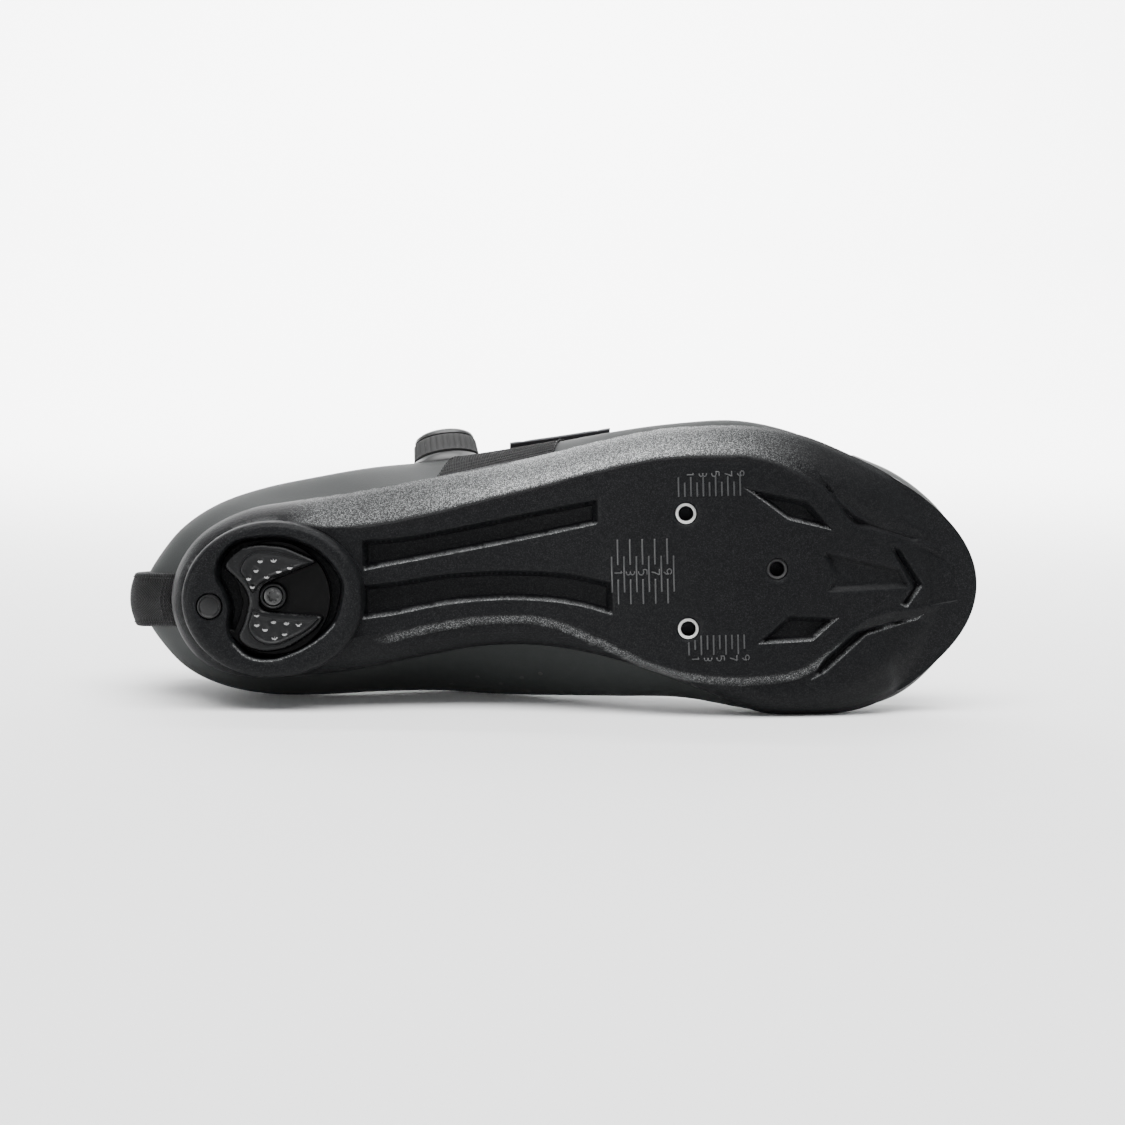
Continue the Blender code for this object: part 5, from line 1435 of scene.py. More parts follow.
def cloth_of(grid: Array) -> Array:
    """Lengths along each row and each column of a grid, in metres, as the pattern's coordinates."""
    along = np.linalg.norm(np.diff(grid, axis=1), axis=2)
    up = np.linalg.norm(np.diff(grid, axis=0), axis=2)
    u = np.concatenate([np.zeros((len(grid), 1)), np.cumsum(along, axis=1)], 1)
    v = np.concatenate([np.zeros((1, grid.shape[1])), np.cumsum(up, axis=0)], 0)
    u = u - u[:, [u.shape[1] // 2]]
    return np.dstack([u, v, np.zeros_like(u)])


def edge_fall(rows: int, columns: int, width: int = 1) -> Array:
    """1 over a grid and 0 on its edge, with a quarter round over a number of points."""
    row = np.minimum(np.arange(rows), np.arange(rows)[::-1])[:, None]
    place = np.minimum(np.arange(columns), np.arange(columns)[::-1])[None, :]
    t = np.clip(np.minimum(row, place) / width, 0, 1)
    return np.sqrt(np.clip(1 - (1 - t) ** 2, 0, 1))


@dataclass(frozen=True)
class Stitching:
    """A row of stitches: short spindles of thread that lie on a line and dip into it at their ends."""

    pitch: float = 2.6 * MM
    length: float = 2.0 * MM
    radius: float = 0.24 * MM

    def sew(self, shape: Shape, line: Array, away: Array) -> None:
        """Adds stitches along a line on a surface.

        Args:
            shape: Where they are added.
            line: Points of the line.
            away: The surface's normal at each point.
        """
        lengths = run_of(line)
        starts = np.arange(self.pitch / 2, lengths[-1] - self.length, self.pitch)
        if not len(starts):
            return
        share = np.array([0.0, 0.18, 0.5, 0.82, 1.0])
        at = starts[:, None] + share * self.length
        middle, normal = (
            np.stack([np.interp(at, lengths, values[:, k]) for k in range(3)], -1) for values in (line, away)
        )
        normal = unit(normal)
        ahead = unit(middle[:, -1:] - middle[:, :1])
        aside = np.cross(ahead, normal)
        swell = np.array([0.35, 0.9, 1.0, 0.9, 0.35]) * self.radius
        lift = (np.array([-0.5, 0.35, 0.6, 0.35, -0.5]) * self.radius)[None, :, None] * normal
        angles = full_turn(6)
        around = np.cos(angles)[:, None] * aside[:, :, None] + np.sin(angles)[:, None] * normal[:, :, None]
        rings = (middle + lift)[:, :, None] + around * swell[None, :, None, None]
        for stitch in rings:
            shape.grid(stitch, around=True)
            shape.add(stitch[[0, -1]], [list(range(6))[::-1], list(range(6, 12))])


@dataclass
class HeelUnit:
    """The walking pad in the heel housing, its screw and the plug behind it."""

    plate_height: float = PAD_PLATE
    back_height: float = 8.2 * MM
    # Outlines in shares of length and ball width
    land: tuple[tuple[float, float], ...] = (
        (0.1105, -0.116), (0.1110, -0.150), (0.1228, -0.186), (0.1516, -0.200), (0.1800, -0.189),
        (0.2190, -0.133), (0.1640, -0.067), (0.1530, -0.048), (0.1500, -0.012), (0.1500, 0.030),
        (0.1585, 0.044), (0.2250, 0.064), (0.2150, 0.108), (0.1990, 0.143), (0.1805, 0.177),
        (0.1555, 0.190), (0.1330, 0.170), (0.1228, 0.133), (0.1305, 0.092), (0.1382, 0.008),
        (0.1345, -0.036), (0.1247, -0.077),
    )
    lobes: tuple[tuple[tuple[float, float], ...], ...] = (
        (
            (0.1266, -0.106), (0.1343, -0.154), (0.1478, -0.177), (0.1709, -0.169), (0.1950, -0.149),
            (0.2151, -0.130), (0.1630, -0.076), (0.1500, -0.052), (0.1440, -0.020), (0.1400, -0.030),
            (0.1350, -0.070),
        ),
        (
            (0.1420, 0.030), (0.1478, 0.039), (0.1574, 0.052), (0.2209, 0.068), (0.2110, 0.100),
            (0.1997, 0.126), (0.1709, 0.166), (0.1555, 0.165), (0.1420, 0.140), (0.1345, 0.095),
            (0.1400, 0.050),
        ),
    )
    dimples: tuple[tuple[float, float], ...] = (
        (0.1526, -0.142), (0.1679, -0.143), (0.1738, -0.103), (0.1867, -0.115), (0.1474, -0.108),
        (0.1599, -0.083), (0.1387, -0.080), (0.1430, -0.050), (0.1468, 0.052), (0.1468, 0.087),
        (0.1661, 0.077), (0.1810, 0.083), (0.1949, 0.089), (0.1564, 0.104), (0.1785, 0.122),
        (0.1669, 0.136),
    )
    dimple_radius: float = 0.95 * MM
    boss_radius: float = 4.4 * MM
    screw_radius: float = 3.2 * MM

    def build(self) -> None:
        """Makes pad, screw and plug."""
        settle(self.pad(), "rubber", "heel_pad")
        settle(self.screw(), "screw_steel", "heel_pad_screw")
        settle(self.plug(), "rubber", "heel_plug")

    def pad(self) -> bpy.types.Object:
        """The pad: a disc, a land on it, two lobes with raised edges and dimples, and the screw's boss."""
        angles = np.radians(np.linspace(-150, 150, 90))
        middle = scaled((0.1656, -0.005))
        back = scaled(
            ((0.1190, 0.110), (0.1260, 0.060), (0.1300, 0.008), (0.1240, -0.060), (0.1150, -0.100))
        )
        disc = np.concatenate([middle + heading(angles) * 18.6 * MM, back])
        disc = resampled(disc, 0.9 * MM)
        screw = scaled(SCREW_PLACE)
        # Sections of the raised parts, as distance in from the outline and height, in millimetres
        raised = [
            (
                soft_corners(scaled(self.land), 2.0 * MM),
                ((-0.3, 4.6), (0, 3.9), (0.35, 1.9), (0.8, 1.55), (1.3, 1.5)),
            ),
            (
                circle(screw, self.boss_radius),
                ((-0.2, 4.6), (0, 4.0), (0.3, 2.6), (0.7, 2.4), (1.0, 2.6), (1.1, 4.6)),
            ),
        ]
        lobe_section = ((0, 1.5), (0.25, 0.4), (0.6, -0.35), (1.0, -0.42), (1.4, -0.15), (2.0, -0.05))
        raised += [(soft_corners(scaled(lobe), 1.8 * MM), lobe_section) for lobe in self.lobes]
        holes = [circle(scaled(place), self.dimple_radius, 18) for place in self.dimples]
        loops = [disc, inset_loop(disc, 0.4 * MM)]
        for outline, profile in raised:
            loops += [inset_loop(outline, inset * MM) for inset, _ in profile]
        for hole in holes:
            loops += [hole, inset_loop(hole, 0.45 * MM)]
        plan, faces = plan_mesh(loops, 1.1 * MM, 0.5 * MM)
        edge = 1 - ease(depth_in(plan, disc)[0] / (0.4 * MM))
        z = np.full(len(plan), self.plate_height) + 0.4 * MM * edge
        for outline, profile in raised:
            insets, heights = (np.array(part) * MM for part in zip(*profile))
            inside = depth_in(plan, outline)[0]
            z = np.where(inside > insets[0], np.minimum(z, np.interp(inside, insets, heights)), z)
        for place in self.dimples:
            away = np.linalg.norm(plan - scaled(place), axis=1) / self.dimple_radius
            z = z + 0.8 * MM * (1 - ease(away))
        shape = Shape()
        points, table = np.column_stack([plan, z]), np.array(faces)
        middles = points[table].mean(axis=1)
        # Faces deeper than 2.9 mm get the darker rubber: painted shade in the pad's deep ground
        kind = np.where(middles[:, 2] > 2.9 * MM, 1, 0)
        # The lower side of each dimple gets the light grey: a painted glint
        for place in self.dimples:
            off = middles[:, :2] - scaled(place)
            glint_faces = (np.linalg.norm(off, axis=1) < 0.85 * self.dimple_radius) & (off[:, 1] > 0.15 * MM)
            kind = np.where(glint_faces, 2, kind)
        for number in range(3):
            shape.add(points, table[kind == number].tolist(), finish=number)
        rim = np.full(len(disc), self.plate_height + 0.4 * MM)
        back = np.full(len(disc), self.back_height)
        wall = np.stack([np.column_stack([disc, rim]), np.column_stack([disc, back])])
        shape.grid(wall, around=True, finish=1)
        shape.add(wall[1], [list(range(len(disc)))], finish=1)
        return shape.build("heel_pad_rubber", [PAD_RUBBER, PAD_PAINTED_SHADE, PAD_PAINTED_GLINT], sharp=40.0, merge=2e-6)

    def screw(self) -> bpy.types.Object:
        """The pad's screw: a turned head with a chamfer, and a six-pointed socket whose radius waves."""
        top = self.plate_height - SCREW_RISE
        r = self.screw_radius
        profile = [
            (0.0, SCREW_DEPTH), (r * 0.98, SCREW_DEPTH), (r, 2.0 * MM), (r, 0.45 * MM),
            (r * 0.90, 0.10 * MM),
            (r * 0.80, 0.0), (r * 0.58, 0.0), (r * 0.54, 0.12 * MM), (r * 0.50, 1.5 * MM), (0.0, 1.6 * MM),
        ]

        def star(ring: Array, angle: Array) -> Array:
            """Waves the socket's rings into six points."""
            return 1 + np.where((ring >= 7) & (ring <= 8), 0.16, 0.0) * np.cos(6 * angle)

        place = np.array([*scaled(SCREW_PLACE), top])
        grid = turned(place, (0, 0, 1), profile, 72, star)
        return Shape().grid(grid, around=True).build("pad_screw", [SCREW_STEEL], sharp=30.0)

    def plug(self) -> bpy.types.Object:
        """The round plug: a raised edge ring round a low dome."""
        profile = [
            (0.0, 2.1), (3.9, 2.1), (3.9, 0.35), (3.75, 0.05), (3.45, 0.0), (3.2, 0.3), (3.0, 0.55),
            (1.6, 0.40), (0.0, 0.34),
        ]
        shape = Shape()
        rings = [(radius * MM, height * MM) for radius, height in profile]
        shape.grid(turned(np.array([*scaled(PLUG_PLACE), 0.0]), (0, 0, 1), rings, 56), around=True)
        return shape.build("plug", [PLUG_RUBBER], sharp=50.0)


@dataclass
class Upper:
    """The upper: its shell with padded collar, the side mesh, the toe cap, seams and air holes."""

    open_columns: int = 84
    closed_columns: int = 46
    rows_to_rim: int = 4
    rows_above: int = 50
    collar_end: float = 0.36
    # Soft creases over the ball: place along, rise of the middle, depth in millimetres, width along
    creases: tuple[tuple[float, float, float, float], ...] = (
        (0.665, 3.1, 0.45, 0.010), (0.700, 3.3, 0.55, 0.012), (0.738, 3.2, 0.40, 0.011),
    )
    # The mesh panel on the outer side: share of its rear and front edge at the rim, their slant, rises
    mesh_rear: float = 0.322
    mesh_front: float = 0.470
    mesh_slant: float = 0.052
    mesh_rises: tuple[float, float] = (1.03, 3.55)
    # Air holes on the inner side: share along and rise
    air_holes: tuple[tuple[float, float], ...] = (
        (0.365, 1.78), (0.392, 1.62), (0.424, 1.72), (0.446, 1.60), (0.466, 1.52), (0.461, 1.86),
        (0.481, 1.96), (0.501, 1.84), (0.521, 1.80),
    )
    toe_start: tuple[float, float] = (0.836, 0.892)
    toe_wall: float = 1.1 * MM
    stitching: Stitching = field(default_factory=Stitching)

    def build(self) -> None:
        """Makes the upper's pieces."""
        settle(self.shell(), "microfibre", "upper")
        settle(self.mesh_panel(), "strap_fabric")
        settle(self.toe_cap(), "toe_film", "toe_cap")
        settle(self.seams(), "microfibre")
        settle(self.holes(), "microfibre")

    def crease(self, turn: Array, rise: Array) -> Array:
        """How far the face lies back in its creases: a trough across, fading down each side."""
        share = LAST.share_of(turn)
        made = np.zeros(np.broadcast(turn, rise).shape)
        for place, middle, depth, width in self.creases:
            bend = place + 0.012 * np.sin(3 * turn) * np.sign(turn)
            across = (share - bend) / width
            fade = ease(1 - np.abs(rise - middle) / 1.0)
            fold = np.exp(-(across**2)) - 0.5 * np.exp(-((np.abs(across) - 2.0) ** 2))
            made = made + depth * MM * fade * fold
        return made

    def shell(self) -> bpy.types.Object:
        """The shell: an outer and an inner skin on one grid, joined round the topline by a half round.

        The wall is thicker round the collar. Both sides meet on the ridge of the vamp.
        """
        throat = float(LAST.turn_of(THROAT_END))
        closed = np.linspace(throat, math.pi, self.closed_columns)[1:]
        side = np.concatenate([np.linspace(0, throat, self.open_columns), closed])
        turns = np.concatenate([side, -side[-2:0:-1]])
        below = np.linspace(0, 1, self.rows_to_rim)[:-1]
        rises = np.concatenate([below, np.linspace(1, 4, self.rows_above)])
        turn, rise = np.meshgrid(turns, rises)
        collar = ease((self.collar_end - LAST.share_of(turn)) / 0.07) * ease((rise - 2.9) / 0.8)
        wall = UPPER_WALL + COLLAR_PAD * collar
        dent = self.crease(turn, rise)
        outer = LAST.face(turn, rise, -dent)
        inner = LAST.face(turn, rise, -wall)
        closed = LAST.share_of(turns) > THROAT_END - 1e-6
        for grid in (outer, inner):
            mirrored = np.roll(grid[-1, ::-1], 1, axis=0)
            grid[-1, closed] = ((grid[-1] + mirrored) / 2)[closed]
        shape = Shape()
        shape.grid(outer, around=True, finish=0, cloth=cloth_of(outer))
        shape.grid(inner, around=True, flip=True, finish=1, cloth=cloth_of(inner))
        feather = np.stack([outer[0], inner[0]])
        shape.grid(feather, around=True, flip=True, finish=1, cloth=np.zeros(feather.shape))
        up = unit(outer[-1] - outer[-2])
        across, half = (outer[-1] - inner[-1]) / 2, wall[-1][:, None] / 2
        arc = np.linspace(0, math.pi, 9)[:, None, None]
        swell = np.where(closed, 0.0, 0.85)[:, None]
        edge = (outer[-1] + inner[-1]) / 2 + across * np.cos(arc) + up * half * np.sin(arc) * swell
        edge[:, closed] = np.where(np.arange(9)[:, None, None] < 1, outer[-1][closed], inner[-1][closed])
        last = int(np.sum(LAST.share_of(side) <= THROAT_END + 1e-6)) - 1
        for start, stop in ((0, last + 1), (len(turns) - last, len(turns) + 1)):
            pick = np.arange(start, stop) % len(turns)
            strip = edge[:, pick]
            shape.grid(strip, finish=2, cloth=cloth_of(strip))
        return shape.build("upper_shell", [MICROFIBRE, LINING, CUT_EDGE_AND_HOLE_SHADE], sharp=50.0, merge=3e-6)

    def panel_grid(self, columns: int, rows: int) -> tuple[Array, Array]:
        """Turns and rises over the mesh panel, whose slanted edges run towards the toe as they rise."""
        v = np.linspace(0, 1, rows)[:, None]
        u = np.linspace(0, 1, columns)[None, :]
        low, high = self.mesh_rises
        rise = np.broadcast_to(low + (high - low) * v, (rows, columns))
        share = self.mesh_rear + (self.mesh_front - self.mesh_rear) * u + self.mesh_slant * (rise - 1)
        share = share + 0.010 * np.sin(v * math.pi) * (1 - 2 * u)
        return LAST.turn_of(share), rise

    def mesh_panel(self) -> bpy.types.Object:
        """The knitted panel: a thin sheet on the outer side, with a low wave under its knit."""
        turn, rise = self.panel_grid(110, 90)
        fall = edge_fall(*turn.shape, 2)
        outer = LAST.face(turn, rise, 0.10 * MM + 0.45 * MM * fall)
        inner = LAST.face(turn, rise, 0.02 * MM)
        cloth = cloth_of(outer)
        rib = np.sin((cloth[..., 0] + cloth[..., 1]) / (1.5 * MM) * 2 * math.pi) * 0.10 * MM * fall
        away = unit(np.cross(np.gradient(outer, axis=1), np.gradient(outer, axis=0)))
        outer = outer + away * rib[..., None]
        return Shape().sheet(outer, inner, cloth=cloth).build("side_mesh_panel", [SIDE_MESH], sharp=60.0)

    def toe_cap(self) -> bpy.types.Object:
        """The film over the toe: it follows the upper's face from rim to ridge, with a rolled rear edge."""
        rises = np.concatenate([[1.14], np.linspace(1.3, 4, 30)])
        start = self.toe_start[0] + (self.toe_start[1] - self.toe_start[0]) * (rises - 1) / 3
        away = np.linspace(-1, 1, 121)[None, :] * (math.pi - LAST.turn_of(start))[:, None]
        turn = np.where(away < 0, math.pi + away, away - math.pi)
        turn = np.where(away == 0, math.pi, turn)
        rise = np.broadcast_to(rises[:, None], turn.shape)
        near = np.minimum(np.arange(121), np.arange(121)[::-1])[None, :]
        fall = np.sqrt(1 - (1 - np.clip(near / 1.5, 0, 1)) ** 2)
        outer = LAST.face(turn, rise, FIT_GAP + self.toe_wall * (0.25 + 0.75 * fall))
        inner = LAST.face(turn, rise, 0.05 * MM)
        for grid in (outer, inner):
            grid[-1] = (grid[-1] + grid[-1, ::-1]) / 2
        shape = Shape()
        shape.grid(outer)
        shape.grid(inner, flip=True)
        shape.grid(np.stack([inner[0], outer[0]]))
        for place in (0, -1):
            shape.grid(np.stack([outer[:, place], inner[:, place]]), flip=place < 0)
        return shape.build("toe_film", [TOE_FILM], sharp=50.0)

    def seams(self) -> bpy.types.Object:
        """Stitches along the topline on both sides up to the throat, and along the mesh panel's rear and front
        edges.
        """
        shape = Shape()
        throat = float(LAST.turn_of(THROAT_END)) - 0.03
        for sign in (1, -1):
            turn = np.linspace(0.02, throat, 240) * sign
            rise = np.full(240, 3.82)
            self.stitching.sew(shape, LAST.face(turn, rise, 0.02 * MM), LAST.outward(turn, rise))
        turn, rise = self.panel_grid(60, 60)
        for place in (0, -1):
            line, height = turn[:, place], rise[:, place]
            self.stitching.sew(shape, LAST.face(line, height, 0.55 * MM), LAST.outward(line, height))
        return shape.build("seam_stitches", [THREAD], sharp=60.0)

    def holes(self) -> bpy.types.Object:
        """The air holes: shallow dark cups with a low burr, let into the inner side, whose darkness is partly
        the dark lining behind and partly painted shade.
        """
        shape = Shape()
        for share, height in self.air_holes:
            turn, rise = -float(LAST.turn_of(share)), height
            middle = LAST.face(turn, rise, 0.0)
            axis = LAST.outward(turn, rise)
            rings = [(0.85, -0.05), (0.78, 0.05), (0.66, 0.08), (0.55, 0.03), (0.0, 0.025)]
            shape.grid(turned(middle, axis, [(r * MM, h * MM) for r, h in rings], 16), around=True)
        return shape.build("air_holes", [CUT_EDGE_AND_HOLE_SHADE], sharp=50.0)


@dataclass
class SoftTrims:
    """Insole, tongue, straps and heel loop."""

    insole_thickness: float = 3.0 * MM
    tongue_thickness: float = 3.4 * MM
    tongue_shares: tuple[float, float] = (0.700, 0.375)
    # Along, rise of the tongue's edge under the flap
    tongue_edge: tuple[tuple[float, float], ...] = ((0.375, 3.950), (0.540, 3.450), (0.700, 3.450))
    # Free end: rise, width, distance back, as shares of the instep's height and of its own width
    tongue_end: tuple[tuple[float, float, float], ...] = (
        (0.0, 1.0, 0.0), (0.060, 1.00, 0.030), (0.140, 1.02, 0.075), (0.220, 0.98, 0.125),
        (0.262, 0.80, 0.155),
    )
    strap_thickness: float = 1.8 * MM
    instep_thickness: float = 2.6 * MM
    end_lift: float = 2.6 * MM
    loop_width: float = 17 * MM
    loop_thickness: float = 1.4 * MM
    loop_reach: float = 3.0 * MM
    stitching: Stitching = field(default_factory=Stitching)

    def build(self) -> None:
        """Makes the trims."""
        insole = settle(self.insole(), "insole_foam", "insole")
        tongue = settle(self.tongue(), "tongue_fabric", "tongue")
        forefoot = self.strap(
            "forefoot_strap_skin", (0.450, 0.570), (2.15, 3.30), self.strap_thickness, STRAP_SKIN,
            self.end_lift
        )
        settle(forefoot, "strap_microfibre", "forefoot_strap")
        instep = self.strap(
            "instep_strap_pad", (0.375, 0.440), (3.55, 2.60), self.instep_thickness, STRAP_PAD, 0.0
        )
        settle(instep, "strap_fabric", "instep_strap")
        settle(self.heel_loop(), "webbing", "heel_loop")
        settle(self.trim_stitches(), "webbing")

    def insole(self) -> bpy.types.Object:
        """The insole: its outline drawn in step by step to a line in its middle, with a raised edge."""
        side = np.linspace(0, math.pi, 90)
        turns = np.concatenate([side, -side[-2:0:-1]])
        inset = CUP_LIP + CUP_WALL + UPPER_WALL + 3 * FIT_GAP
        x, y = LAST.outline(RIM_ENDS, RIM, turns, inset)
        middle = (y + np.roll(y[::-1], 1)) / 2
        shares = np.array([1.0, 1.0, 0.97, 0.9, 0.75, 0.55, 0.35, 0.15, 0.0])[:, None]
        lifts = np.array([0.1, 0.8, 1.0, 0.97, 0.9, 0.86, 0.85, 0.85, 0.85])[:, None]
        wide = middle + (y - middle) * shares
        floor = LAST.side_height(2, x) + FIT_GAP
        top = stacked(x, wide, floor + lifts * self.insole_thickness)
        bottom = stacked(x, wide, floor)
        shape = Shape()
        cloth = np.dstack([top[..., 0], top[..., 1], np.zeros(top.shape[:2])])
        shape.grid(top, around=True, cloth=cloth)
        shape.grid(bottom[[0, 3, 8]], around=True, flip=True, cloth=cloth[[0, 3, 8]])
        shape.grid(np.stack([bottom[0], top[0]]), around=True, cloth=cloth[:2])
        return shape.build("insole_knit", [INSOLE_CLOTH], sharp=60.0, merge=4e-6)

    def tongue(self) -> bpy.types.Object:
        """The tongue: rows across the instep under the flaps, then a free end that rises and leans back.

        Its pad swells between its edges and a sewn line along its middle.
        """
        shares = np.linspace(*self.tongue_shares, 44)
        edges = np.interp(shares, *np.transpose(self.tongue_edge))
        depth = UPPER_WALL + 2 * FIT_GAP
        grids = []
        for offset in (-depth, -(depth + self.tongue_thickness)):
            rows = [LAST.across_instep(s, e, e, offset, 9, 13) for s, e in zip(shares, edges)]
            last = rows[-1]
            middle = last.mean(axis=0)
            knots = np.arange(len(self.tongue_end), dtype=float)
            at = np.linspace(0, knots[-1], 21)[1:]
            reach, wide, back = (smooth(knots, column(self.tongue_end, k), at) for k in range(3))
            for up, share, lean in zip(reach, wide, back):
                shift = np.array([-lean, 0, up]) * INSTEP_HEIGHT
                rows.append(middle + (last - middle) * (1, share, share) + shift)
            grids.append(np.array(rows))
        outer, inner = grids
        rows, columns = outer.shape[:2]
        thick = outer - inner
        across = np.linspace(-1, 1, columns)[None, :]
        seam = np.exp(-((across / 0.07) ** 2))
        swell = (edge_fall(rows, columns, 3) * (1 - 0.35 * seam))[..., None]
        free = ease((np.arange(rows) - 44) / 6)[:, None, None]
        middle = (outer + inner) / 2
        outer = middle + thick * (0.12 + 0.38 * swell) * (1 + 0.25 * free)
        inner = middle - thick * (0.12 + 0.38 * swell)
        shape = Shape().sheet(outer, inner, cloth=cloth_of(outer))
        return shape.build("tongue_pad", [TONGUE_CLOTH], sharp=60.0)

    def strap(
        self, name: str, shares: tuple[float, float], rises: tuple[float, float], thickness: float,
        finish: Finish, lifted: float
    ) -> bpy.types.Object:
        """A strap over the throat, with rounded edges. Its end on the outer side can stand off a little.

        Args:
            name: The piece's name.
            shares: Its two edges along the topline.
            rises: Its ends on the outer and the inner flap.
            thickness: Its thickness.
            finish: Its finish.
            lifted: How far its outer end stands off.

        Returns:
            The strap's object.
        """
        columns, sides, bridge = 31, 22, 16
        along = np.linspace(*shares, columns)
        lines = [LAST.across_instep(s, *rises, FIT_GAP, sides, bridge) for s in along]
        tops = [LAST.across_instep(s, *rises, FIT_GAP + thickness, sides, bridge) for s in along]
        inner, outer = np.array(lines), np.array(tops)
        away = unit(outer - inner)
        rows = outer.shape[1]
        t = np.linspace(0, 1, rows)
        lift = away * (lifted * np.clip(1 - t / 0.16, 0, 1) ** 2)[None, :, None]
        fall = edge_fall(columns, rows, 2)[..., None]
        hem = np.minimum(np.arange(columns), np.arange(columns)[::-1])[:, None, None]
        pressed = 0.12 * np.exp(-(((hem - 4) / 1.0) ** 2))
        outer = inner + (outer - inner) * (0.35 + 0.65 * fall - pressed) + lift
        return Shape().sheet(outer, inner + lift, cloth=cloth_of(outer)).build(name, [finish], sharp=55.0)

    def loop_grid(self, offset: float, rows: int = 60, columns: int = 33) -> tuple[Array, Array]:
        """Points of the heel loop at an offset from its inner face, and its outward directions."""
        rises = np.linspace(1.1, 3.7, rows)
        proud = self.loop_reach * np.clip(1 - ((rises - 2.35) / 1.0) ** 2, 0, 1) ** 2
        middle = LAST.face(0.0, rises, 0.0)
        away = LAST.outward(0.0, rises)
        reach = np.linspace(0, 0.9, 60)
        side = np.abs(LAST.rib(reach[None, :], rises[:, None])[..., 1] - middle[:, None, 1])
        width = np.array([np.interp(self.loop_width / 2, row, reach) for row in side])
        turn = width[:, None] * np.linspace(-1, 1, columns)[None, :]
        rise = np.broadcast_to(rises[:, None], turn.shape)
        lift = proud[:, None, None] * away[:, None, :]
        return LAST.face(turn, rise, FIT_GAP + offset) + lift, LAST.outward(turn, rise)

    def heel_loop(self) -> bpy.types.Object:
        """The loop's tape: flat ribs along both selvedges and a woven field between them."""
        outer, away = self.loop_grid(self.loop_thickness)
        inner = self.loop_grid(0.0)[0]
        fall = edge_fall(*outer.shape[:2], 2)
        across = np.linspace(-1, 1, outer.shape[1])[None, :]
        selvedge = 0.25 * MM * np.exp(-(((np.abs(across) - 0.90) / 0.05) ** 2))
        outer = outer + away * (selvedge - 0.5 * MM * (1 - fall))[..., None]
        cloth = cloth_of(outer)[..., [1, 0, 2]]
        return Shape().sheet(outer, inner, cloth=cloth).build("heel_loop_tape", [WEBBING], sharp=55.0)

    def trim_stitches(self) -> bpy.types.Object:
        """Stitches along the loop's selvedges and across its ends, and along the forefoot strap's edges."""
        shape = Shape()
        grid, away = self.loop_grid(self.loop_thickness + 0.05 * MM)
        fine = Stitching(pitch=1.5 * MM, length=1.15 * MM, radius=0.20 * MM)
        for place in (3, -4):
            fine.sew(shape, grid[:, place], away[:, place])
        for place in (3, 5, -6, -4):
            fine.sew(shape, grid[place], away[place])
        for share in (0.459, 0.561):
            line = LAST.across_instep(share, 2.25, 3.2, FIT_GAP + self.strap_thickness - 0.1 * MM, 22, 16)
            below = LAST.across_instep(share, 2.25, 3.2, 0.0, 22, 16)
            self.stitching.sew(shape, line, unit(line - below))
        return shape.build("trim_stitches", [THREAD], sharp=60.0)


